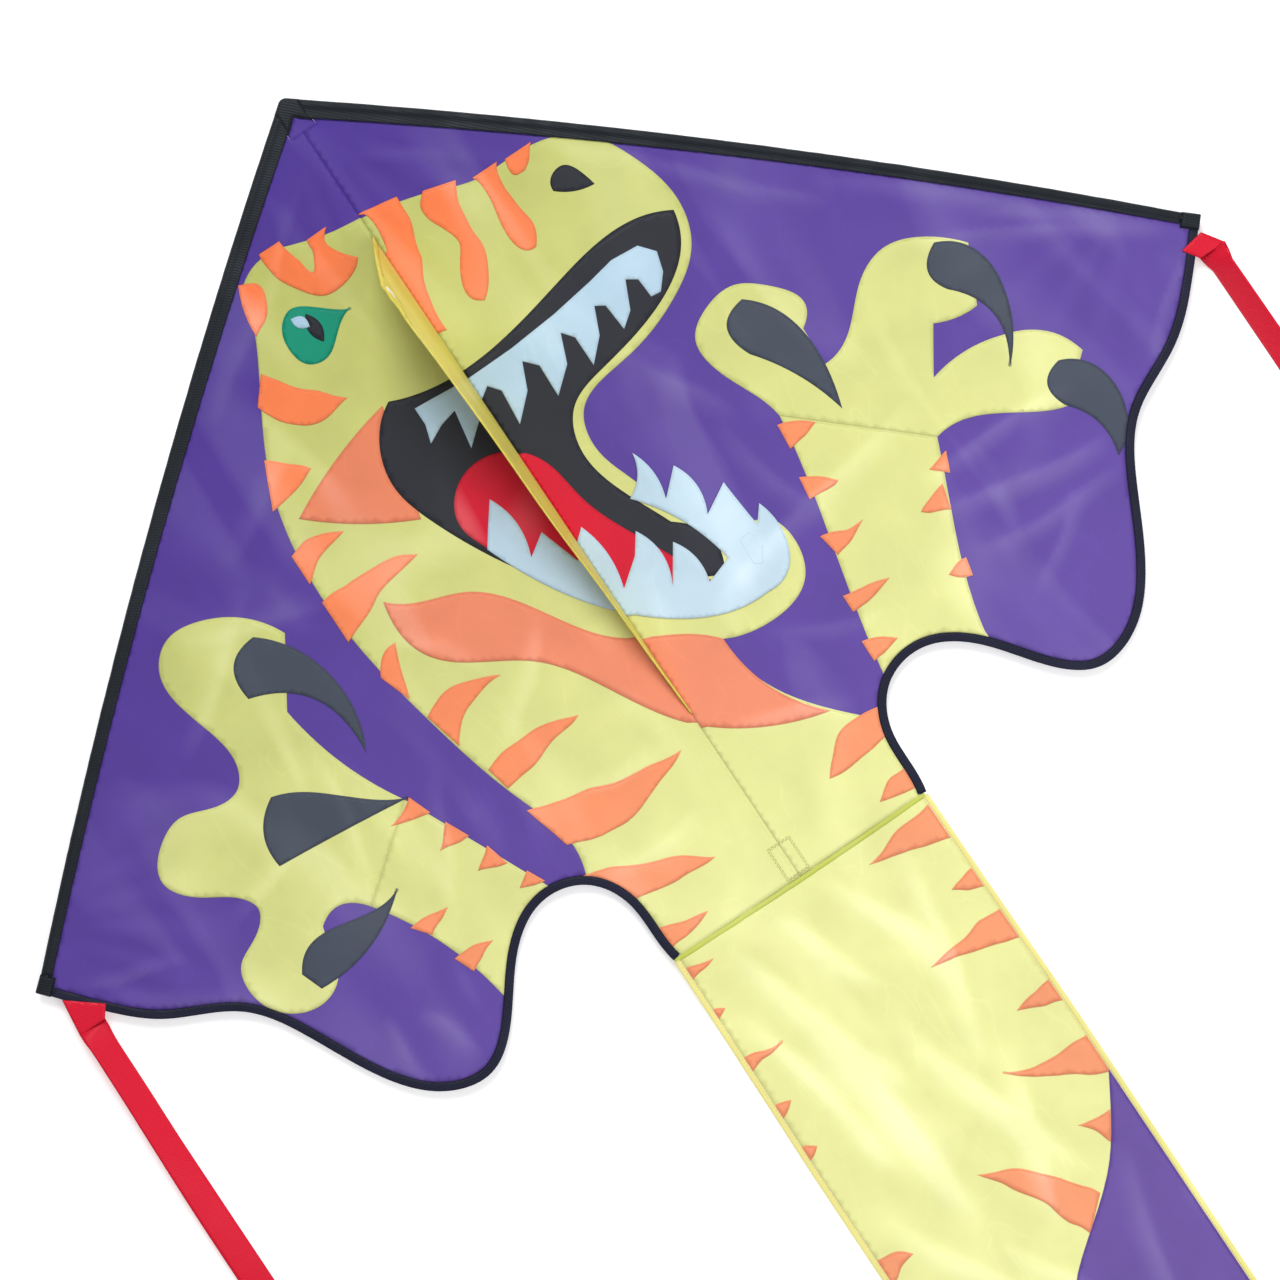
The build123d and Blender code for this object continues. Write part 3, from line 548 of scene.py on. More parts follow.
def sweepParts(stations, sections):
    # a closed strip: at each station (point, inward direction) a loop of (inset, height) in mm
    points = []
    for (place, inward), section in zip(stations, sections):
        for inset, height in section:
            points.append((*(place + inward * inset * mm), height * mm))
    size = len(sections[0])
    faces = []
    for i in range(len(stations) - 1):
        for k in range(size):
            a, b = i * size + k, i * size + (k + 1) % size
            faces.append((a, b, b + size, a + size))
    faces.append(tuple(reversed(range(size))))
    faces.append(tuple((len(stations) - 1) * size + k for k in range(size)))
    return np.array(points), faces


def stationsOn(path, towards):
    # points of an open plan line, each with the direction square to it that points towards the cloth
    run = np.gradient(path, axis=0)
    run /= np.maximum(np.linalg.norm(run, axis=1), 1e-9)[:, None]
    out = np.column_stack([-run[:, 1], run[:, 0]])
    if (out * (np.asarray(towards) - path)).sum() < 0:
        out = -out
    return list(zip(path, out))


def runsOf(loop, turn=25):
    # the runs of a loop between its corners, longest first
    before, after = loop - np.roll(loop, 1, axis=0), np.roll(loop, -1, axis=0) - loop
    cross = before[:, 0] * after[:, 1] - before[:, 1] * after[:, 0]
    bend = np.abs(np.degrees(np.arctan2(cross, (before * after).sum(1))))
    corners = [i for i in range(len(loop)) if bend[i] > turn]
    runs = []
    for a, b in zip(corners, corners[1:] + [corners[0] + len(loop)]):
        runs.append(np.array([loop[i % len(loop)] for i in range(a, b + 1)]))
    return sorted(runs, key=lambda r: -np.linalg.norm(np.diff(r, axis=0), axis=1).sum())


def fixed(points, faces):
    # turns a closed shape's faces outwards
    a = np.array([points[f[0]] for f in faces])
    b = np.array([points[f[1]] for f in faces])
    c = np.array([points[f[2]] for f in faces])
    middlePoint = points.mean(0)
    volume = ((a - middlePoint) * np.cross(b - middlePoint, c - middlePoint)).sum()
    return (points, faces) if volume > 0 else (points, [tuple(reversed(f)) for f in faces])


def waveScale(spacing):
    # a wave texture's scale for bands that far apart, in mm
    return 2 * math.pi / 20 / (spacing * mm)


def newMaterial(name):
    material = bpy.data.materials.new(name)
    material.use_nodes = True
    return material, material.node_tree, material.node_tree.nodes["Principled BSDF"]


taffetaLook = {
    "threads": 0.9,  # mm apart; they really lie 0.25 mm apart, drawn coarser so that they show
    "clouds": 45, "creases": 55, "streaks": 90,  # mm, size of each pattern; the streaks are painted highlight
    "streak": 0.16, "mottle": 0.05, "crease": 0.035,  # how much paler each makes the cloth; the streak's paleness is painted highlight on the folds and streaks
    "toneFrom": -1.08, "toneTo": -0.3,  # m down the kite, over which the colour is painted paler: painted light, for the brighter light towards the tail
    "relief": 0.3, "depth": 0.3,  # strength and mm of the bump
    "roughness": (0.46, 0.54), "sheen": 0.02, "sheenRoughness": 0.45, "specular": 0.2, "ior": 1.47,
}


def taffeta(name, upper, lower):
    # plain-woven polyester with a thin coating: a satin sheen, fine threads and pale fold lines; its colour
    # is painted paler towards the tail as painted light, and painted highlights lie along its folds
    look = taffetaLook
    material, tree, shader = newMaterial(name)
    # the pattern is laid out in metres on the cloth as it lies flat, so that it folds with the piece
    plan = addNode(tree, "ShaderNodeAttribute", attribute_name="plan").outputs["Vector"]
    # painted light: the colour is painted paler towards the tail, for the brighter light there, falling on
    # the thin cloth and coming through it
    across = addNode(tree, "ShaderNodeVectorMath", (plan, (0.2, -0.98, 0)), operation="DOT_PRODUCT")
    paintedLightShare = addNode(tree, "ShaderNodeMapRange", (
        across.outputs["Value"], look["toneFrom"], look["toneTo"], 0, 1))
    tone = addNode(tree, "ShaderNodeMix", {
        0: paintedLightShare.outputs["Result"], 6: toLinear(upper), 7: toLinear(lower)}, data_type="RGBA")
    clouds = addNode(tree, "ShaderNodeTexNoise", {
        "Vector": plan, "Scale": 1000 / look["clouds"], "Detail": 3.0})
    turned = addNode(tree, "ShaderNodeMapping", {
        "Vector": plan, "Rotation": (0, 0, 0.7), "Scale": (1, 0.35, 1)})
    creases = addNode(tree, "ShaderNodeTexNoise", {
        "Vector": turned.outputs["Vector"], "Scale": 1000 / look["creases"],
        "Detail": 2.0, "Distortion": 0.5})
    offMiddle = addNode(tree, "ShaderNodeMath", (creases.outputs["Fac"], 0.5), operation="SUBTRACT")
    offMiddle = addNode(tree, "ShaderNodeMath", (offMiddle.outputs["Value"],), operation="ABSOLUTE")
    line = addNode(tree, "ShaderNodeMapRange", (offMiddle.outputs["Value"], 0.0, 0.008, look["crease"], 0.0))
    # painted highlight: the folds, and broad streaks over the cloth, are painted paler and less coloured, as
    # where the light shines along a fold
    folds = addNode(tree, "ShaderNodeAttribute", attribute_name="fold")
    streaks = addNode(tree, "ShaderNodeTexNoise", {
        "Vector": turned.outputs["Vector"], "Scale": 1000 / look["streaks"],
        "Detail": 1.0, "Distortion": 1.2})
    paintedStreaks = addNode(tree, "ShaderNodeMapRange", (
        streaks.outputs["Fac"], 0.5, 0.72, -0.02, look["streak"] * 0.7))
    lit = addNode(tree, "ShaderNodeMath", (
        folds.outputs["Fac"], look["streak"], paintedStreaks.outputs["Result"]), operation="MULTIPLY_ADD")
    cloudy = addNode(tree, "ShaderNodeMapRange", (
        clouds.outputs["Fac"], 0.3, 0.7, 1 - look["mottle"], 1 + look["mottle"]))
    value = addNode(tree, "ShaderNodeMath", (line.outputs["Result"], cloudy.outputs["Result"]))
    value = addNode(tree, "ShaderNodeMath", (value.outputs["Value"], lit.outputs["Value"]))
    # painted highlight: the paler parts also lose colour
    litSaturation = addNode(tree, "ShaderNodeMapRange", (lit.outputs["Value"], 0, 0.3, 1.0, 0.75))
    shade = addNode(tree, "ShaderNodeHueSaturation", {
        "Saturation": litSaturation.outputs["Result"], "Value": value.outputs["Value"], "Color": tone.outputs[2]})
    # the threads and the creases give the bump
    weave = {"Vector": plan, "Scale": waveScale(look["threads"])}
    warp = addNode(tree, "ShaderNodeTexWave", weave, bands_direction="X")
    weft = addNode(tree, "ShaderNodeTexWave", weave, bands_direction="Y")
    threads = addNode(tree, "ShaderNodeMath", (
        warp.outputs["Fac"], weft.outputs["Fac"]), operation="MULTIPLY")
    relief = addNode(tree, "ShaderNodeMath", (
        creases.outputs["Fac"], 3.0, threads.outputs["Value"]), operation="MULTIPLY_ADD")
    bump = addNode(tree, "ShaderNodeBump", {
        "Height": relief.outputs["Value"], "Strength": look["relief"], "Distance": look["depth"] * mm})
    rough = addNode(tree, "ShaderNodeMapRange", (clouds.outputs["Fac"], 0.3, 0.7, *look["roughness"]))
    setInputs(tree, shader, {
        "Base Color": shade.outputs["Color"], "Normal": bump.outputs["Normal"],
        "Roughness": rough.outputs["Result"], "IOR": look["ior"], "Specular IOR Level": look["specular"],
        "Sheen Weight": look["sheen"], "Sheen Roughness": look["sheenRoughness"],
    })
    return material


tapeLook = {
    "fibres": 3, "rubbed": 38,  # mm, size of each pattern
    "wear": (0.1, 0.8),  # how pale the ribs are where the tape is least and most rubbed
    "relief": 0.45, "depth": 0.3,  # strength and mm of the bump
    "roughness": 0.62, "polish": 0.12,  # how much smoother it is where it is rubbed
    "sheen": 0.02, "sheenRoughness": 0.5, "specular": 0.2, "ior": 1.5,
}


def wovenTape(name, colour, worn, ribSpacing, roughness=tapeLook["roughness"]):
    # narrow ribbed polyester tape: dull, with cross ribs and paler fibres where it is rubbed
    look = tapeLook
    material, tree, shader = newMaterial(name)
    plan = addNode(tree, "ShaderNodeAttribute", attribute_name="plan").outputs["Vector"]
    ribs = addNode(tree, "ShaderNodeTexWave", {
        "Vector": plan, "Scale": waveScale(ribSpacing), "Distortion": 0.6, "Detail": 1.0,
    }, bands_direction="DIAGONAL")
    fibres = addNode(tree, "ShaderNodeTexNoise", {
        "Vector": plan, "Scale": 1000 / look["fibres"], "Detail": 4.0})
    rubbed = addNode(tree, "ShaderNodeTexNoise", {
        "Vector": plan, "Scale": 1000 / look["rubbed"], "Detail": 4.0})
    wear = addNode(tree, "ShaderNodeMapRange", (rubbed.outputs["Fac"], 0.45, 0.75, *look["wear"]))
    mixed = addNode(tree, "ShaderNodeMath", (
        ribs.outputs["Fac"], wear.outputs["Result"]), operation="MULTIPLY")
    tone = addNode(tree, "ShaderNodeMix", {
        0: mixed.outputs["Value"], 6: toLinear(colour), 7: toLinear(worn)}, data_type="RGBA")
    relief = addNode(tree, "ShaderNodeMath", (
        fibres.outputs["Fac"], 0.6, ribs.outputs["Fac"]), operation="MULTIPLY_ADD")
    bump = addNode(tree, "ShaderNodeBump", {
        "Height": relief.outputs["Value"], "Strength": look["relief"], "Distance": look["depth"] * mm})
    rough = addNode(tree, "ShaderNodeMapRange", (
        rubbed.outputs["Fac"], 0.3, 0.7, roughness, roughness - look["polish"]))
    setInputs(tree, shader, {
        "Base Color": tone.outputs[2], "Normal": bump.outputs["Normal"],
        "Roughness": rough.outputs["Result"], "IOR": look["ior"], "Specular IOR Level": look["specular"],
        "Sheen Weight": look["sheen"], "Sheen Roughness": look["sheenRoughness"],
    })
    return material


threadLook = {"ply": 0.5, "relief": 0.3, "depth": 0.1, "roughness": 0.42, "ior": 1.5}  # ply and depth in mm


def spunThread(name, colour, lit):
    # spun polyester sewing thread: a twisted ply, slightly shinier than the cloth
    look = threadLook
    material, tree, shader = newMaterial(name)
    plan = addNode(tree, "ShaderNodeAttribute", attribute_name="plan").outputs["Vector"]
    ply = addNode(tree, "ShaderNodeTexWave", {
        "Vector": plan, "Scale": waveScale(look["ply"])}, bands_direction="DIAGONAL")
    tone = addNode(tree, "ShaderNodeMix", {
        0: ply.outputs["Fac"], 6: toLinear(colour), 7: toLinear(lit)}, data_type="RGBA")
    bump = addNode(tree, "ShaderNodeBump", {
        "Height": ply.outputs["Fac"], "Strength": look["relief"], "Distance": look["depth"] * mm})
    setInputs(tree, shader, {
        "Base Color": tone.outputs[2], "Normal": bump.outputs["Normal"],
        "Roughness": look["roughness"], "IOR": look["ior"],
    })
    return material


plasticLook = {
    "scuffs": 9,  # mm, size of the handling marks
    "relief": 0.2, "depth": 0.1,  # strength and mm of the grain
    "polished": 0.06, "dulled": 0.1,  # how far the roughness strays either way
    "ior": 1.53,
}


def mouldedPlastic(name, colour, scuffed, grain, roughness):
    # injection-moulded or dipped plastic: fine spark-eroded grain, a little wax and handling marks
    look = plasticLook
    material, tree, shader = newMaterial(name)
    place = addNode(tree, "ShaderNodeTexCoord").outputs["Object"]
    grains = addNode(tree, "ShaderNodeTexNoise", {"Vector": place, "Scale": 1000 / grain, "Detail": 3.0})
    scuffs = addNode(tree, "ShaderNodeTexNoise", {
        "Vector": place, "Scale": 1000 / look["scuffs"], "Detail": 5.0, "Roughness": 0.7})
    marked = addNode(tree, "ShaderNodeMapRange", (scuffs.outputs["Fac"], 0.55, 0.75, 0, 1))
    tone = addNode(tree, "ShaderNodeMix", {
        0: marked.outputs["Result"], 6: toLinear(colour), 7: toLinear(scuffed)}, data_type="RGBA")
    bump = addNode(tree, "ShaderNodeBump", {
        "Height": grains.outputs["Fac"], "Strength": look["relief"], "Distance": look["depth"] * mm})
    rough = addNode(tree, "ShaderNodeMapRange", (
        scuffs.outputs["Fac"], 0.3, 0.7, roughness - look["polished"], roughness + look["dulled"]))
    setInputs(tree, shader, {
        "Base Color": tone.outputs[2], "Normal": bump.outputs["Normal"],
        "Roughness": rough.outputs["Result"], "IOR": look["ior"],
    })
    return material


rodLook = {
    "strands": 1.2, "marks": 20,  # mm, size of each pattern
    "relief": 0.15, "depth": 0.1,  # strength and mm of the bump
    "roughness": (0.3, 0.42), "ior": 1.55,
}


def pultrudedFibreglass(name, colour, fibre):
    # pultruded fibreglass rod: long straight glass fibres in dark resin, sanded to a soft gloss
    look = rodLook
    material, tree, shader = newMaterial(name)
    place = addNode(tree, "ShaderNodeTexCoord").outputs["Object"]
    strands = addNode(tree, "ShaderNodeTexNoise", {
        "Vector": place, "Scale": 1000 / look["strands"], "Detail": 2.0})
    marks = addNode(tree, "ShaderNodeTexNoise", {
        "Vector": place, "Scale": 1000 / look["marks"], "Detail": 4.0})
    glass = addNode(tree, "ShaderNodeMapRange", (strands.outputs["Fac"], 0.4, 0.75, 0, 0.6))
    tone = addNode(tree, "ShaderNodeMix", {
        0: glass.outputs["Result"], 6: toLinear(colour), 7: toLinear(fibre)}, data_type="RGBA")
    bump = addNode(tree, "ShaderNodeBump", {
        "Height": strands.outputs["Fac"], "Strength": look["relief"], "Distance": look["depth"] * mm})
    rough = addNode(tree, "ShaderNodeMapRange", (marks.outputs["Fac"], 0.3, 0.7, *look["roughness"]))
    setInputs(tree, shader, {
        "Base Color": tone.outputs[2], "Normal": bump.outputs["Normal"],
        "Roughness": rough.outputs["Result"], "IOR": look["ior"],
    })
    return material


# each cloth's colour at the nose, and the paler colour it is painted towards the tail, as painted light
clothColours = {
    "sail_purple": ("purple", "#442c87", "#644c9f"),
    "cloth_lime": ("lime", "#a9ae5b", "#e6e79c"),
    "cloth_orange": ("orange", "#e66f3a", "#f29a70"),
    "cloth_salmon": ("salmon", "#cf7350", "#f09373"),
    "cloth_black": ("black", "#202128", "#33363e"),
    "cloth_slate": ("slate", "#3d4650", "#474d5c"),
    "cloth_red": ("red", "#c4122a", "#cf1a38"),
    "cloth_pale": ("pale blue", "#93b4cd", "#cfe2ec"),
    "cloth_teal": ("teal", "#05856a", "#0c8c74"),
    "keel_yellow": ("yellow", "#dccd58", "#ecdc62"),
}
materials, threadOf = {}, {}
for slot, (colour, upper, lower) in clothColours.items():
    materials[slot] = taffeta(f"{colour} polyester taffeta", upper, lower)
    threadOf[slot] = spunThread(f"{colour} polyester thread", lower, lower)
materials["edge_black"] = wovenTape("black polyester edge tape", "#11171d", "#232b32", 1.6)
materials["ribbon_red"] = wovenTape("red polyester ribbon", "#d00d2d", "#d61836", 1.3, 0.5)
materials["rod_fibreglass"] = pultrudedFibreglass("pultruded fibreglass", "#23262a", "#4a4f55")
materials["cap_vinyl"] = mouldedPlastic("dipped black vinyl", "#101113", "#26282b", 0.6, 0.38)
materials["clip_plastic"] = mouldedPlastic("moulded black nylon", "#17181a", "#34363a", 0.4, 0.5)
materials["eyelet_white"] = mouldedPlastic("moulded white acetal", "#e9eaea", "#d2d4d4", 0.4, 0.35)
bindingTape = wovenTape("navy polyester binding", "#15172c", "#23263e", 1.4)
hemCloth = taffeta("rolled hem of the tail's taffeta", "#eadf84", "#ece28c")
seamCloth = taffeta("seam allowance of the lime taffeta", "#b4bd50", "#c2cb5c")
tailPurple = taffeta("purple polyester taffeta of the tail", "#6a519e", "#6a519e")
blackThread = spunThread("black polyester thread", "#1b1f24", "#3a4048")
oliveThread = spunThread("olive polyester thread", "#8d9150", "#a2a668")
paleThread = spunThread("pale polyester thread", "#d6cd80", "#e2da96")
print("materials made")

middleSeam = {"cadGap": 3.4, "reachTo": 0.03, "hingeFrom": 0.6, "hingeTo": 4.2}  # mm from the middle


def runToMiddle(loops):
    # cloth that ends beside the middle in CAD runs on to the seam there
    touches = False
    for loop in loops:
        near = np.abs(loop[:, 0]) < middleSeam["cadGap"] * mm
        if near.any():
            touches = True
            loop[near, 0] = np.sign(loop[near, 0]) * middleSeam["reachTo"] * mm
    return touches


def joinWing(piece, body, touches):
    # moves with its wing, or, if it is sewn into the centre seam, stays where it is and moves with neither
    # wing
    if touches:
        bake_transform(piece)
    else:
        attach(piece, body)


def finishPiece(piece, node, body=None):
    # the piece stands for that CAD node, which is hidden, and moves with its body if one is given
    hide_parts(node)
    if body:
        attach(piece, body)
    return piece


# how many layers up each picture cloth is sewn
levelOf = {
    "dinosaur": 1, "hand": 1, "stripes": 2, "throat": 2, "mouth": 2, "claws": 2, "eye_iris": 2,
    "nostril": 2, "tongue": 3, "upper_teeth": 3, "eye_pupil": 3, "eye_glint": 4, "lower_teeth": 4,
}
largePictures = ("dinosaur", "hand", "mouth", "throat")
flame = {"amount": 5.5, "size": 32.0, "from": 1.0, "to": 20.0}  # mm


def flameEdges(loops, anchors):
    # cut freehand: a stripe's edges wander where they're away from the border that it starts at
    wandering = []
    for loop in loops:
        ring = spaced(loop, 2.5 * mm)
        away = np.min([awayFrom(ring, anchor) for anchor in anchors], axis=0) / mm
        amount = flame["amount"] * mm * smooth(away, flame["from"], flame["to"])
        swing = np.column_stack([noiseAt(ring, flame["size"] * mm, seed, 1) for seed in (71, 72)])
        wandering.append(ring + swing * amount[:, None])
    return wandering


pictureSpacing = {"large": 5.0, "small": 3.5}  # mm between points
layers = {"right": [], "left": []}
kindOf = {n: n.rsplit("_", 1)[0] if n.endswith(("_left", "_right")) else n for n in sorted(nodes)}
pictures = {n: kind for n, kind in kindOf.items() if kind in levelOf}
pictureLoops = {node: outlines(node) for node in pictures}
for node, kind in pictures.items():
    body, slot = bodyOf[node], slotOf[node]
    covers = [
        pictureLoops[other] for other in pictures
        if bodyOf[other] == body and levelOf[pictures[other]] > levelOf[kind]
    ]
    loops = outlines(node)
    if kind == "stripes":
        side = node.rsplit("_", 1)[1]
        loops = flameEdges(loops, [outlines(f"dinosaur_{side}"), pictureLoops[f"mouth_{side}"]])
    touches = runToMiddle(loops)
    place = upright(onWing, levelOf[kind] * cloth["layerStep"])
    spacing = pictureSpacing["large" if kind in largePictures else "small"]
    sheetPoints, sheetFaces, _ = sheetParts(loops, place, cloth["layerStep"] + cloth["layerLap"], spacing)
    rows = [zigzagRow(loop, loops, place, covers) for loop in loops]
    points, faces, owners = joined((sheetPoints, sheetFaces), *rows)
    piece = newPiece(f"{node}_cloth", points, faces, [materials[slot], threadOf[slot]], None, owners)
    finishPiece(piece, node)
    joinWing(piece, body, touches)
    layers[body.split("_")[1]].append(piece)
print("picture layers sewn on")

for side, sign in sides:
    node = f"sail_{side}"
    loops = outlines(node)
    touches = runToMiddle(loops)
    points, faces, flatArea = sheetParts(loops, upright(onWing), cloth["thickness"], cloth["pointSpacing"])
    sail = newPiece(f"sail_cloth_{side}", points, faces, [materials["sail_purple"]])
    finishPiece(sail, node)
    joinWing(sail, f"wing_{side}", touches)
    low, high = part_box(node)
print("sails made")


sleeve = {
    "stations": 3.5,  # mm between the rings of its mesh
    "radius": 4.1,  # mm, of the cloth round the spar
    "sparInset": 4.7,  # mm from the edge to the spar
    "overlap": 0.7,  # mm that the flange runs on over the sail
    "flanges": 10.0,  # mm of its flat width is in the two flanges
    "flangeTop": 13.2,  # mm above the floor
    "wall": 0.45,
    "pucker": 0.35,
    "notch": 34.0,  # mm of its lower half is open for the spreader's clip
    "notchEase": 1.0,  # mm more at each end of that opening
    "stitchIn": 0.6,  # mm from the flange's edge to its stitches
    "points": 12,
    "bend": 13,  # degrees between the points round the spar
}
sparZ = (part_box("leading_edge_spar_right")[0].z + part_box("leading_edge_spar_right")[1].z) / 2 / mm


def sleeveSection(width, opened, ripple):
    # the folded cloth in section: over the spar, round it, and back to a flat flange
    r, inset = sleeve["radius"] + ripple * 0.5, sleeve["sparInset"]
    flange = width + sleeve["overlap"]

    def arc(start, stop):
        angles = np.radians(np.arange(start, stop, sleeve["bend"]))
        return [(inset + r * math.cos(a), sparZ + r * math.sin(a)) for a in angles]

    top, sail = sleeve["flangeTop"], sailTop / mm
    upper = [(flange, top), (width - 1.5, 13.1 + ripple), (inset + r * 0.95, sparZ + r * 0.66)]
    upper = evened(upper + arc(48, 190), sleeve["points"])
    lower = evened(arc(190, 300) + [(width - 2.0, sail - 1.2), (flange, sail - 0.5)], sleeve["points"])
    if opened:  # the lower half is cut away, so it ends in a short stub
        lower = upper[-1] + np.outer(np.arange(1, sleeve["points"] + 1), [0.01, -0.06])
    line = np.vstack([upper, lower[1:]])
    run = np.gradient(line, axis=0)
    run /= np.linalg.norm(run, axis=1)[:, None]
    out = np.column_stack([-run[:, 1], run[:, 0]]) * sleeve["wall"] / 2
    return [tuple(p) for p in line - out] + [tuple(p) for p in (line + out)[::-1]]


for side, sign in sides:
    node = f"leading_edge_sleeve_{side}"
    longest = runsOf(outlines(node)[0])[:2]
    outer, inner = sorted(longest, key=lambda r: -abs(r[:, 0]).max() - r[:, 1].max())
    outer = outer if abs(outer[0, 0]) < abs(outer[-1, 0]) else outer[::-1]
    inner = inner if abs(inner[0, 0]) < abs(inner[-1, 0]) else inner[::-1]
    length = np.linalg.norm(np.diff(outer, axis=0), axis=1).sum()
    count = int(length / (sleeve["stations"] * mm))
    path, innerPath = evened(outer, count), evened(inner, count)
    widths = np.linalg.norm(path - innerPath, axis=1) / mm
    clipMiddle = sum(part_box(f"spreader_clip_{side}"), Vector((0, 0, 0))) / 2
    stations = stationsOn(path, innerPath)
    ripples = sleeve["pucker"] * noiseAt(path, 0.012, 21 + sign, 2)
    sections = []
    for (point, _), width, ripple in zip(stations, widths, ripples):
        fromClip = math.hypot(point[0] - clipMiddle.x, point[1] - clipMiddle.y) / mm
        opened = fromClip < sleeve["notch"] / 2 + sleeve["notchEase"]
        sections.append(sleeveSection(width, opened, ripple))
    body = sweepParts(stations, sections)
    onFlange = [p + q * (w - sleeve["stitchIn"]) * mm for (p, q), w in zip(stations, widths)]
    row = straightRow(np.array(onFlange), flatAt(sleeve["flangeTop"] + 0.15))
    points, faces, owners = joined(fixed(*body), row)
    piece = newPiece(f"{node}_cloth", points, faces, [materials["edge_black"], blackThread], None, owners)
    finishPiece(piece, node, f"wing_{side}")
print("sleeves wrapped")


# a tape folded over the edge; its inner face lies at those shares of the outer one
binding = {
    "stations": 4.0, "width": 7.6, "top": 0.95, "bottom": 0.75,  # mm
    "pucker": 0.18, "stitchIn": 1.5, "inset": 0.38, "innerWidth": 0.95, "innerHeight": 0.45,
}
for side, sign in sides:
    node = f"trailing_edge_binding_{side}"
    outer, inner = runsOf(outlines(node)[0])[:2]
    centreOfWing = np.array([sign * 0.25, noseY - 0.4])
    outer, inner = sorted((inner, outer), key=lambda r: -np.linalg.norm(r - centreOfWing, axis=1).mean())
    length = np.linalg.norm(np.diff(outer, axis=0), axis=1).sum()
    path = evened(outer, int(length / (binding["stations"] * mm)))
    innerPath = evened(inner, len(path))
    if np.linalg.norm(path[0] - innerPath[0]) > np.linalg.norm(path[0] - innerPath[-1]):
        innerPath = innerPath[::-1]
    stations = stationsOn(path, innerPath)
    ripples = binding["pucker"] * noiseAt(path, 0.010, 31 + sign, 2)
    w, top, bottom = binding["width"], binding["top"], binding["bottom"]
    fold = np.array([
        (w, top - 0.2), (w * 0.7, top - 0.03), (w * 0.35, top), (w * 0.12, top - 0.08), (0.1, top - 0.4),
        (-0.05, 0.05), (0.1, -bottom + 0.4), (w * 0.12, -bottom + 0.1), (w * 0.35, -bottom),
        (w * 0.7, -bottom), (w, -bottom + 0.15),
    ])
    within = fold * [binding["innerWidth"], binding["innerHeight"]] + [binding["inset"], 0]
    shape = np.vstack([fold, within[::-1]])
    sections = []
    for (point, inward), ripple in zip(stations, ripples):
        surface = heightsUnder(onWing, point, inward, shape)
        sections.append([
            (inset, z + height * (1 + ripple)) for (inset, height), z in zip(shape, surface)
        ])
    body = sweepParts(stations, sections)
    onTape = np.array([p + q * (w - binding["stitchIn"]) * mm for p, q in stations])
    row = straightRow(onTape, upright(onWing, top + 0.02))
    points, faces, owners = joined(fixed(*body), row)
    piece = newPiece(f"{node}_tape", points, faces, [bindingTape, blackThread], None, owners)
    finishPiece(piece, node, f"wing_{side}")
print("edges bound")


pocket = {
    "spacing": 1.6, "rims": (0.35, 0.9, 1.7),  # mm between its points, and in from its edge
    "edge": 0.25, "soft": 3.4, "quilt": 0.3,  # mm, its edge's half thickness, its rounding, its lumps
}
pocketMaterials = [materials["edge_black"], blackThread]


def pocketPiece(node, softness=1.0, rows=(), sunk=None):
    # a flat folded pocket, stuffed by the rod ends inside it: rounded rims and a slightly uneven face
    loops = outlines(node)
    low, high = (corner.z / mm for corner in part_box(node))
    half = (high - low) / 2

    def swell(flat):
        away = awayFrom(flat, loops) / mm
        t = np.clip(away / (pocket["soft"] * softness), 0, 1)
        uneven = pocket["quilt"] * noiseAt(flat, 0.011, 41, 2) * t / 2
        rounded = np.sqrt(1 - (1 - t) ** 2) * (1 - 0.08 * (1 - t))
        return pocket["edge"] + (half - pocket["edge"]) * rounded + uneven

    def above(flat):
        return swell(flat) - (sunk(flat) if sunk else 0)

    flatPlace = flatAt((low + high) / 2)
    body = sheetParts(loops, flatPlace, (above, swell), pocket["spacing"], pocket["rims"])

    def onTop(flat):
        placed, facing = flatPlace(flat)
        return placed + facing * (above(flat) + 0.02)[:, None] * mm, facing

    points, faces, owners = joined(body[:2], *[straightRow(np.array(r), onTop) for r in rows])
    piece = newPiece(f"{node}_cloth", points, faces, pocketMaterials, None, owners)
    return finishPiece(piece, node, bodyOf[node])


def fromNose(x, d):
    return (x * mm, noseY - d * mm)


noseCloth = {
    "band": 13.6,  # mm of the pocket shows along each edge
    "half": 12.6, "depth": 34.8, "level": 11.8,  # mm, half its width, its end, its height
    "sink": 2.9,  # mm that the pocket drops under it
    "rowInset": 10.8, "rowFrom": 0.6, "rowTo": 11.6,  # mm, the stitches along each edge
}


def insetOf(flat):
    # distance in mm from the leading edge
    x, d = np.abs(flat[:, 0]) / mm, (noseY - flat[:, 1]) / mm
    return d * edgeAcross - x * edgeDown


def depthAtInset(x, inset):
    return (inset + abs(x) * edgeDown) / edgeAcross


half, band = noseCloth["half"], noseCloth["band"]
rowEnds = [(x, depthAtInset(x, noseCloth["rowInset"])) for x in (noseCloth["rowFrom"], noseCloth["rowTo"])]
pocketPiece(
    "nose_pocket", rows=[[fromNose(sign * x, d) for x, d in rowEnds] for sign in (-1, 1)],
    sunk=lambda flat: noseCloth["sink"] * smooth(insetOf(flat), band - 1.0, band + 0.2),
)
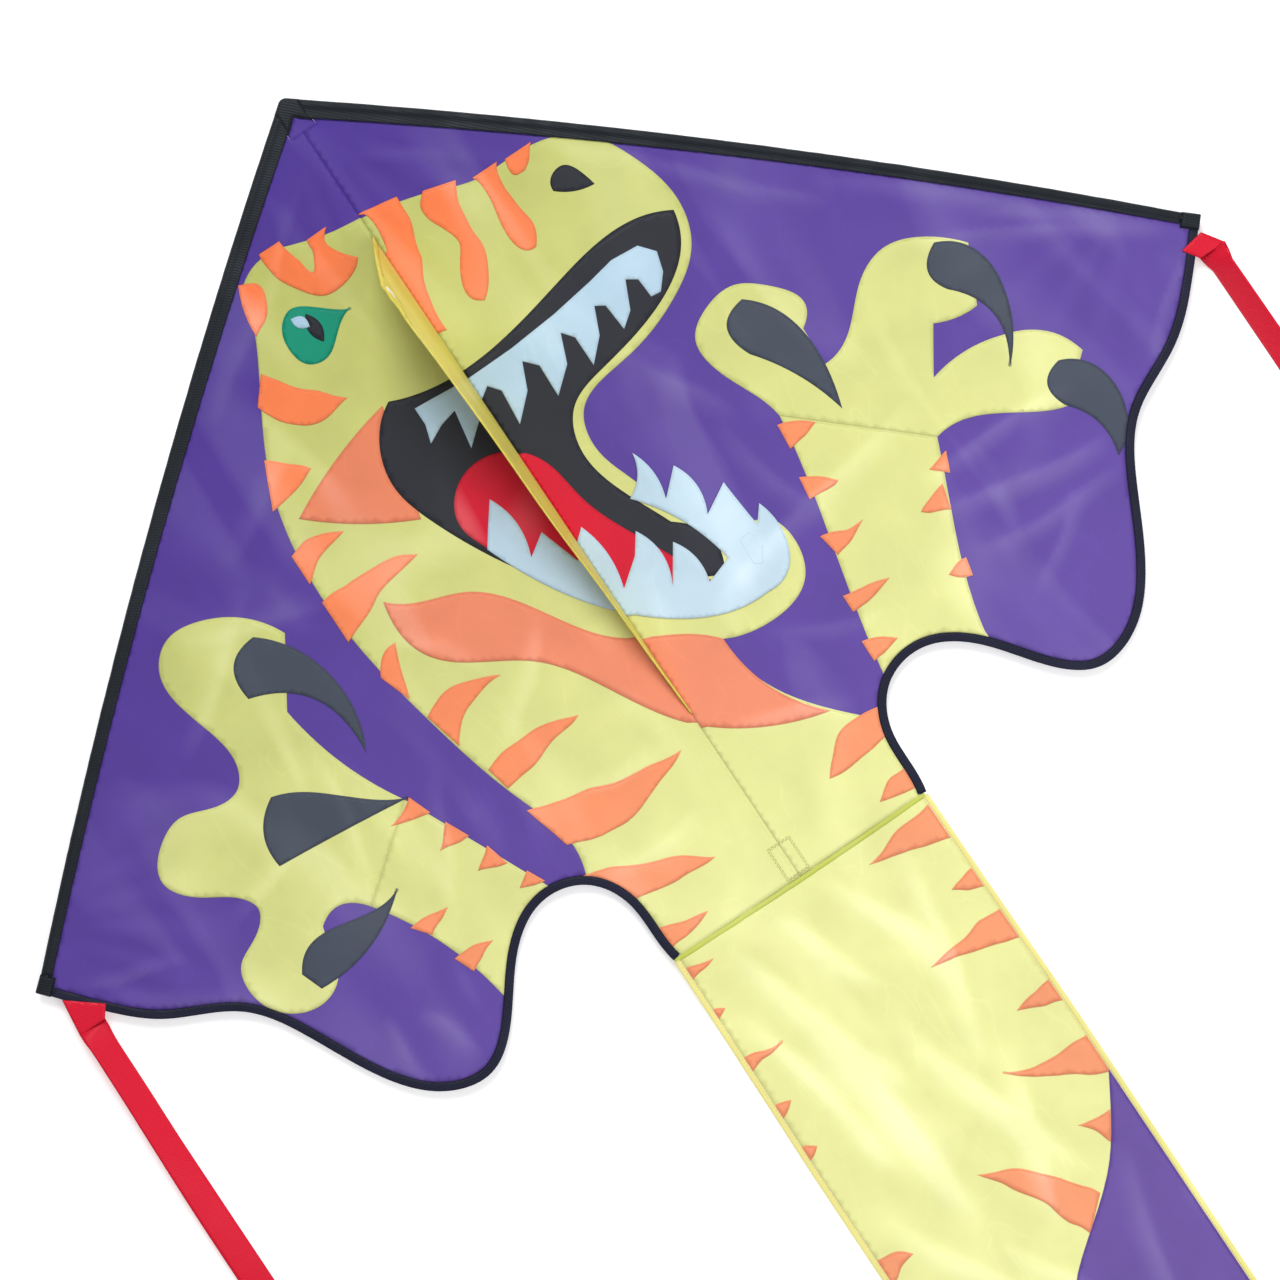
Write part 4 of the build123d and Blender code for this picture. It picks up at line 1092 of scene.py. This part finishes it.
# the sail's cloth runs on over the pocket, up to the band along the edges
coverLoop = counterClockwise(np.array([
    fromNose(0, depthAtInset(0, band)), fromNose(half, depthAtInset(half, band)),
    fromNose(half, noseCloth["depth"]), fromNose(-half, noseCloth["depth"]),
    fromNose(-half, depthAtInset(half, band)),
]))
coverPoints, coverFaces, _ = sheetParts([coverLoop], flatAt(noseCloth["level"]), 0.5, 3.0)
noseCover = newPiece("nose_cover_cloth", coverPoints, coverFaces, [materials["sail_purple"]])
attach(noseCover, "spine")
tipRow = ((567.5, 511.5), (578.5, 520.0))  # mm out from the middle and down from the nose
for side, sign in sides:
    row = [fromNose(sign * x, d) for x, d in tipRow]
    pocketPiece(f"tip_pocket_{side}", softness=0.8, rows=[row])
pocketPiece("spine_tail_pocket")

# the tape behind the centre seam
seamTape = {"half": 6.0, "level": 11.4, "thickness": 0.35}  # mm
low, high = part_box("centre_seam_tape")
tapeHalf = seamTape["half"] * mm
tapeLoop = np.array([(-tapeHalf, low.y), (tapeHalf, low.y), (tapeHalf, high.y), (-tapeHalf, high.y)])
points, faces, flatArea = sheetParts([tapeLoop], flatAt(seamTape["level"]), seamTape["thickness"], 6.0)
tape = newPiece("centre_seam_tape_cloth", points, faces, [materials["edge_black"]])
finishPiece(tape, "centre_seam_tape", "spine")
print("pockets made")


keel = {
    "spacing": 5.0, "thickness": 0.3, "billow": 2.0, "pulls": 0.35,  # mm
    "sink": 1.0,  # mm that it runs on into the centre seam
    "hem": 7.0, "hemThickness": 1.1, "stitchIn": 5.6, "rowStart": 9.0, "rowStop": 26.0,  # mm
    "patch": 34.0, "patchThickness": 1.6, "patchInset": 0.4,  # mm
}
keelPoints = np.array([v.co for v in nodes["keel"].data.vertices])
keelFront = keelPoints[keelPoints[:, 1].argmax()]
keelBack = keelPoints[keelPoints[:, 1].argmin()]
keelTow = keelPoints[keelPoints[:, 2].argmax()]
keelBaseZ = keelFront[2]
keelTilt = math.atan2(-keelTow[0], keelTow[2] - keelBaseZ)
towAt = np.array([noseY - keelTow[1], math.hypot(keelTow[0], keelTow[2] - keelBaseZ)])
frontAt, backAt = np.array([noseY - keelFront[1], 0]), np.array([noseY - keelBack[1], 0])
keelFacing = np.array([-math.cos(keelTilt), 0, -math.sin(keelTilt)])


def keelPlace(lift=0.0):
    # (distance from the nose, height in the keel's own plane) to the row frame
    def place(flat):
        s, h = flat[:, 0], flat[:, 1]
        belly = keel["billow"] * mm * np.sin(np.clip(h / towAt[1], 0, 1) * math.pi)
        belly = belly * noiseAt(flat, 0.12, 51, 1)
        # pulls fan out from the tow corner
        fan = np.sin(np.arctan2(s - towAt[0], towAt[1] + 0.02 - h) * 16) * np.clip(h / 0.03, 0, 1)
        out = belly + keel["pulls"] * mm * fan + lift * mm
        x = -h * math.sin(keelTilt) + out * keelFacing[0]
        z = keelBaseZ + h * math.cos(keelTilt) + out * keelFacing[2]
        return np.column_stack([x, noseY - s, z]), np.tile(keelFacing, (len(s), 1))
    return place


sinkBy = np.array([0, -keel["sink"] * mm])
keelLoop = np.array([frontAt + sinkBy, backAt + sinkBy, backAt, towAt, frontAt])
keelBody = sheetParts([keelLoop], keelPlace(keel["thickness"] / 2), keel["thickness"], keel["spacing"])
piece = newPiece("keel_cloth", keelBody[0], keelBody[1], [materials["keel_yellow"]])
finishPiece(piece, "keel")
hemParts, hemRows = [], []
hemWidth = keel["hem"] * mm
for a, b in ((frontAt, towAt), (towAt, backAt)):
    run = (b - a) / np.linalg.norm(b - a)
    inward = np.array([run[1], -run[0]])
    start = a + run * (hemWidth if a is frontAt else 0)
    stop = b - run * (hemWidth * 3 if b is backAt else 0)
    loop = counterClockwise(np.array([a, b, stop + inward * hemWidth, start + inward * hemWidth]))
    hemParts.append(sheetParts([loop], keelPlace(keel["hemThickness"] / 2), keel["hemThickness"], 3.5)[:2])
    line = np.array([a + run * keel["rowStart"] * mm, b - run * keel["rowStop"] * mm])
    line += inward * keel["stitchIn"] * mm
    hemRows += [straightRow(line, keelPlace(face)) for face in (0.57, -0.57)]
hemPoints, hemFaces, _ = joined(*hemParts)
points, faces, owners = joined((hemPoints, hemFaces), *hemRows)
hemMaterials = [materials["keel_yellow"], threadOf["keel_yellow"]]
hem = newPiece("keel_hem_cloth", points, faces, hemMaterials, None, owners)
finishPiece(hem, "keel_hem")
patchRadius = keel["patch"] * mm
toFront, toBack = frontAt - towAt, backAt - towAt
startAngle, endAngle = math.atan2(toFront[1], toFront[0]), math.atan2(toBack[1], toBack[0])
if startAngle > 0:
    startAngle -= 2 * math.pi
angles = np.linspace(startAngle, endAngle, 14)
arc = [towAt + patchRadius * np.array([math.cos(t), math.sin(t)]) for t in angles]
patchLoop = offsetLoop(counterClockwise(np.array([towAt] + arc)), keel["patchInset"] * mm)
patchThickness = keel["patchThickness"]
points, faces, _ = sheetParts([patchLoop], keelPlace(patchThickness / 2), patchThickness, 3.0)
cornerPatch = newPiece("keel_corner_patch_cloth", points, faces, [materials["keel_yellow"]])
finishPiece(cornerPatch, "keel_corner_patch")
for part in (piece, hem, cornerPatch):
    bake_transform(part)

eyelet = {"steps": 36, "flange": 6.5, "bore": 3.0, "half": 1.35, "roll": 0.5}  # mm
mount = next(m for m in record["mounts"] if m["name"] == "tow_eyelet")
eyeletAt, eyeletAxis = np.array(mount["pos_m"]), np.array(mount["axis"], float)
eyeletAxis /= np.linalg.norm(eyeletAxis)
firstWay = np.cross(eyeletAxis, [0, 1, 0])
firstWay /= np.linalg.norm(firstWay)
secondWay = np.cross(eyeletAxis, firstWay)
b, f, t, e = eyelet["bore"], eyelet["flange"], eyelet["half"], eyelet["roll"]
profile = [
    (b, 0), (b, t * 0.6), (b + 0.25, t * 0.95), (b + 0.9, t + 0.15), (b + 1.8, t + 0.1), (f - e, t * 0.85),
    (f - 0.1, t * 0.7), (f, t * 0.5), (f - 0.15, t * 0.35), (f - 0.6, t * 0.3), (b + 0.8, t * 0.3),
]
profile = profile + [(r, -h) for r, h in reversed(profile[1:])]
points = []
for k in range(eyelet["steps"]):
    angle = 2 * math.pi * k / eyelet["steps"]
    way = firstWay * math.cos(angle) + secondWay * math.sin(angle)
    points += [eyeletAt + (way * r + eyeletAxis * h) * mm for r, h in profile]
size = len(profile)
faces = []
for k in range(eyelet["steps"]):
    here, after = k * size, (k + 1) % eyelet["steps"] * size
    for i in range(size):
        following = (i + 1) % size
        faces.append((here + i, here + following, after + following, after + i))
points, faces = fixed(np.array(points), faces)
grommet = newPiece("tow_eyelet_grommet", points, faces, [materials["eyelet_white"]])
finishPiece(grommet, "tow_eyelet", "keel")
print("keel sewn")


tail = {
    "spacing": 6.0, "pictureSpacing": 5.0, "reach": 2.2,  # mm, reach is what runs on into the seam
    "hemStations": 6.0, "hemStitches": 3.6, "hemBand": 4.2, "endRaised": 0.1,  # mm
    "seamWidth": 4.4, "seamHeight": 0.9, "seamBow": 1.6,  # mm
}
# the rolled hem in section: (mm in from the edge, mm above the cloth)
rolled = [
    (4.6, 0.35), (4.0, 0.75), (2.4, 0.9), (0.8, 0.8), (0.0, 0.35), (0.0, -0.3), (0.8, -0.55),
    (4.0, -0.55), (4.6, -0.2),
]
for node in ("tail_background", "tail_stripes"):
    loops = outlines(node, flatTop=False)
    slot = slotOf[node]
    material = tailPurple if node == "tail_background" else materials[slot]
    if node == "tail_stripes":
        borders = ("tail_panel", "tail_background")
        loops = flameEdges(loops, [outlines(border, flatTop=False) for border in borders])
    place = upright(onTail, cloth["layerStep"])
    thickness = cloth["layerStep"] + cloth["layerLap"]
    sheetPoints, sheetFaces, _ = sheetParts(loops, place, thickness, tail["pictureSpacing"])
    rows = [zigzagRow(loop, loops, place) for loop in loops]
    points, faces, owners = joined((sheetPoints, sheetFaces), *rows)
    piece = newPiece(f"{node}_cloth", points, faces, [material, threadOf[slot]], None, owners)
    finishPiece(piece, node, "tail")
loops = outlines("tail_panel", flatTop=False)
tailTop = max(loop[:, 1].max() for loop in loops)
for loop in loops:
    loop[loop[:, 1] > tailTop - 0.1 * mm, 1] += tail["reach"] * mm
points, faces, flatArea = sheetParts(loops, upright(onTail), cloth["thickness"], tail["spacing"])
panel = newPiece("tail_cloth", points, faces, [materials["cloth_lime"]])
finishPiece(panel, "tail_panel")
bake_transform(panel)


def rolledHem(stations, raised=0.0):
    # the rolled edge along those stations, never below the floor
    sections = []
    for point, inward in stations:
        surface = heightsUnder(onTail, point, inward, rolled)
        heights = [max(z + height, 0.05) + raised for (_, height), z in zip(rolled, surface)]
        sections.append([(inset, height) for (inset, _), height in zip(rolled, heights)])
    return fixed(*sweepParts(stations, sections))


hemLoop = sorted(outlines("tail_hem", flatTop=False), key=lambda l: -np.ptp(l[:, 0]))[0]
hemLow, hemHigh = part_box("tail_hem")
outerX = max(abs(hemLow.x), abs(hemHigh.x))
hemBits, hemStitches = [], []
for sign in (-1, 1):
    edge = [p for p in hemLoop if p[0] * sign > 0 and p[0] * sign > outerX - tail["hemBand"] * mm]
    edge = np.array(sorted(edge, key=lambda p: -p[1]))
    path = evened(edge, int(np.ptp(edge[:, 1]) / (tail["hemStations"] * mm)))
    stations = stationsOn(path, np.column_stack([np.zeros(len(path)), path[:, 1]]))
    hemBits.append(rolledHem(stations))
    line = np.array([p + q * tail["hemStitches"] * mm for p, q in stations])
    hemStitches.append(straightRow(line, upright(onTail, 0.82)))
endPath = evened(np.array([(-outerX, hemLow.y), (outerX, hemLow.y)]), 44)
hemBits.append(rolledHem(stationsOn(endPath, endPath + [0, 0.01]), tail["endRaised"]))
hemPoints, hemFaces, _ = joined(*hemBits)
points, faces, owners = joined((hemPoints, hemFaces), *hemStitches)
tailHem = newPiece("tail_hem_cloth", points, faces, [hemCloth, paleThread], None, owners)
finishPiece(tailHem, "tail_hem", "tail")

# the pocket for the spine's end is sewn on from behind: two rows of stitches show on the face
pocketRows = ((11.0, 750.0, 781.5), (9.6, 751.4, 780.1))  # mm: half width, first and last depth
rows = []
for half, first, last in pocketRows:
    corners = [fromNose(-half, last), fromNose(-half, first), fromNose(half, first), fromNose(half, last)]
    for pair in zip(corners, corners[1:] + corners[:1]):
        rows.append(straightRow(np.array(pair), upright(onWing, cloth["layerStep"] + 0.4)))
points, faces, _ = joined(*rows)
pocketStitches = newPiece("pocket_stitches", points, faces, [oliveThread])
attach(pocketStitches, "spine")

# the seam allowance between body and tail, a soft ridge that bows a little towards the tail
seamPath = np.array([
    (x * mm, seamY - (1.2 + tail["seamBow"] * (1 - (x / 128) ** 2)) * mm) for x in range(-127, 128, 3)
])
stations = stationsOn(seamPath, seamPath + [0, -0.01])
sections = []
for (point, _), ripple in zip(stations, 0.25 * noiseAt(seamPath, 0.012, 61, 2)):
    half = tail["seamWidth"] / 2
    z = onWing(np.array([point[0]]), np.array([seamY]))[0] / mm
    rise = tail["seamHeight"] * (1 + ripple)
    sections.append([
        (-half, z + 0.1), (-half * 0.7, z + rise * 0.7), (0, z + rise), (half * 0.7, z + rise * 0.6),
        (half, z - 0.2), (half * 0.7, z - 0.7), (-half * 0.7, z - 0.7),
    ])
points, faces = fixed(*sweepParts(stations, sections))
seam = newPiece("tail_seam_cloth", points, faces, [seamCloth])
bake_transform(seam)
low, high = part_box("tail_panel")
print("tail made")


streamer = {
    "width": 25.0, "length": 1300.0, "stations": 8.0, "thickness": 0.35,  # mm
    "across": 8,
    "from": 12.1, "ramp": 80.0,  # mm above the floor at its root, and mm over which it drops to it
    "arch": 0.8,  # mm, rise across its width
    "sway": 3.0, "swayOver": 300.0, "swayLength": 170.0,  # mm to either side of its line
    "wave": 0.8, "waveLength": 63.0, "clearOfFloor": 0.6,  # mm
    "tuck": 0.4,  # mm that its root lies up under the tab
}
tab = {"level": 13.5, "thickness": 0.7, "spacing": 2.5, "reach": 1.2}  # mm, reach is past the root
# tilt of each ribbon at distances from its root: (mm, degrees)
ribbonTilt = {
    "left": (
        (0, 8), (18, 38), (120, 33), (240, 12), (420, -6), (640, 14), (860, -9), (1080, 8), (1300, 0),
    ),
    "right": (
        (0, 14), (14, 54), (110, 50), (260, 26), (430, 8), (650, -10), (880, 12), (1100, -6), (1300, 0),
    ),
}
for side, sign in sides:
    node = f"streamer_{side}"
    ribbon = outlines(node, flatTop=False)[0]
    low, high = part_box(node)
    rootX = ribbon[ribbon[:, 1] > high.y - 0.5 * mm][:, 0].mean()
    endX = ribbon[ribbon[:, 1] < low.y + 0.5 * mm][:, 0].mean()
    count = int(streamer["length"] / streamer["stations"])
    tilts = np.array(ribbonTilt[side], float)
    points, plan = [], []
    for k in range(count + 1):
        t = k / count
        s = t * streamer["length"]
        tilt = math.radians(np.interp(s, tilts[:, 0], tilts[:, 1])) * sign
        swing = math.sin(s / streamer["swayLength"] + sign) * min(1, s / streamer["swayOver"])
        sway = streamer["sway"] * swing
        x = rootX + (endX - rootX) * t + sway * mm
        y = high.y + streamer["tuck"] * mm - (high.y - low.y) * t
        drop = float(smooth(np.array([s / streamer["ramp"]]), 0, 1)[0])
        rest = 0.5 * streamer["width"] * abs(math.sin(tilt)) + streamer["clearOfFloor"]
        wave = streamer["wave"] * drop * (1 + math.sin(s / streamer["waveLength"] + 2 * sign))
        z = streamer["from"] * (1 - drop) + rest * drop + wave
        for j in range(streamer["across"] + 1):
            u = j / streamer["across"] - 0.5
            off = u * streamer["width"]
            lift = streamer["arch"] * (1 - 4 * u * u) * math.cos(s / 210)
            height = max(z + off * math.sin(tilt) + lift * 0.5, 0.4)
            points.append((x + (off * math.cos(tilt)) * mm, y, height * mm))
            plan.append((rootX + off * mm, high.y - s * mm, 0))
    row = streamer["across"] + 1
    upper = np.array(points)
    lower = upper - [0, 0, streamer["thickness"] * mm]
    half = len(upper)
    faces = []
    for k in range(count):
        for j in range(row - 1):
            a = k * row + j
            faces.append((a, a + 1, a + row + 1, a + row))
            faces.append((a + row + half, a + row + 1 + half, a + 1 + half, a + half))
        for a, b in ((k * row, (k + 1) * row), ((k + 1) * row + row - 1, k * row + row - 1)):
            faces.append((a, b, b + half, a + half))
    for a in range(row - 1):
        faces.append((a + 1, a, a + half, a + 1 + half))
        end = count * row
        faces.append((end + a, end + a + 1, end + a + 1 + half, end + a + half))
    everyPoint, faces = fixed(np.vstack([upper, lower]), faces)
    ribbonPiece = newPiece(f"{node}_ribbon", everyPoint, faces, [materials["ribbon_red"]], plan + plan)
    finishPiece(ribbonPiece, node)
    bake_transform(ribbonPiece)

    node = f"streamer_tab_{side}"
    loops = outlines(node)
    for loop in loops:
        lowY = loop[:, 1].min()
        loop[loop[:, 1] < lowY + 0.2 * mm, 1] -= tab["reach"] * mm
    points, faces, _ = sheetParts(loops, flatAt(tab["level"]), tab["thickness"], tab["spacing"])
    tabPiece = newPiece(f"{node}_cloth", points, faces, [materials["ribbon_red"]])
    finishPiece(tabPiece, node, f"wing_{side}")
print("streamers laid")


# rods, caps and clips keep their CAD shape; the moulded ones get soft edges
softEdge = {"width": 0.25, "segments": 2, "angle": 40}  # mm, and degrees between faces
for name, node in nodes.items():
    if not node.hide_render:
        node.data.materials.clear()
        node.data.materials.append(materials[slotOf[name]])
        if "clip" in name or "caps" in name:
            bevel = node.modifiers.new("soft edges", "BEVEL")
            bevel.width = softEdge["width"] * mm
            bevel.segments = softEdge["segments"]
            bevel.limit_method = "ANGLE"
            bevel.angle_limit = math.radians(softEdge["angle"])
print("rods and clips finished")


# a plain white board that glows a little, so that it stays white without brighter lights
board = {"half": 8.0, "colour": "#f4f4f4", "roughness": 0.9, "specular": 0.1, "glow": 0.3}  # metres
boardCorners = [(x * board["half"], y * board["half"], 0) for x, y in ((-1, -1), (1, -1), (1, 1), (-1, 1))]
floor = newPiece("floor", boardCorners, [(0, 1, 2, 3)], [])
floorPaint, floorTree, floorShader = newMaterial("matt white board")
setInputs(floorTree, floorShader, {
    "Base Color": toLinear(board["colour"]), "Roughness": board["roughness"],
    "Specular IOR Level": board["specular"],
    "Emission Color": (1, 1, 1, 1), "Emission Strength": board["glow"],
})
floor.data.materials.append(floorPaint)

# looks straight down; width is what the frame takes in at the sail's level
view = {
    "centre": (-0.0017, 0.5969), "height": 2.4, "width": 1.073,  # metres
    "turn": -33.74, "sensor": 36.0,  # degrees, mm
}
cameraData = bpy.data.cameras.new("camera")
cameraData.sensor_width = view["sensor"]
cameraData.lens = view["sensor"] * view["height"] / view["width"]
camera = bpy.data.objects.new("camera", cameraData)
bpy.context.scene.collection.objects.link(camera)
camera.location = (view["centre"][0], view["centre"][1], sailTop + view["height"])
camera.rotation_euler = (0, 0, math.radians(view["turn"]))
bpy.context.scene.camera = camera

imageUp = Vector((math.sin(-math.radians(view["turn"])), math.cos(math.radians(view["turn"])), 0))
imageRight = Vector((imageUp.y, -imageUp.x, 0))
middle = Vector((*view["centre"], 0))


# each light's way from the middle in metres (up, right and above the frame), its size and its watts
lights = {
    "key": (2.0, -0.5, 2.5, 1.5, 64),
    "fill": (-0.9, 1.5, 2.4, 2.4, 30),
}


def areaLight(name, place, size, power):
    # a round lamp that faces the middle of the kite
    data = bpy.data.lights.new(name, "AREA")
    data.shape = "DISK"
    data.size = size
    data.energy = power
    lamp = bpy.data.objects.new(name, data)
    bpy.context.scene.collection.objects.link(lamp)
    lamp.location = place
    lamp.rotation_euler = (middle - place).to_track_quat("-Z", "Y").to_euler()


# the key stands past the top of the frame, a little to the left; the fill opposite it, to the right
for name, (up, right, above, size, power) in lights.items():
    areaLight(name, middle + imageUp * up + imageRight * right + Vector((0, 0, above)), size, power)
world = bpy.data.worlds.new("studio")
bpy.context.scene.world = world
world.use_nodes = True
setInputs(world.node_tree, world.node_tree.nodes["Background"], {"Color": (1, 1, 1, 1), "Strength": 0.5})
bpy.context.scene.view_settings.view_transform = "Standard"
print("stage set")
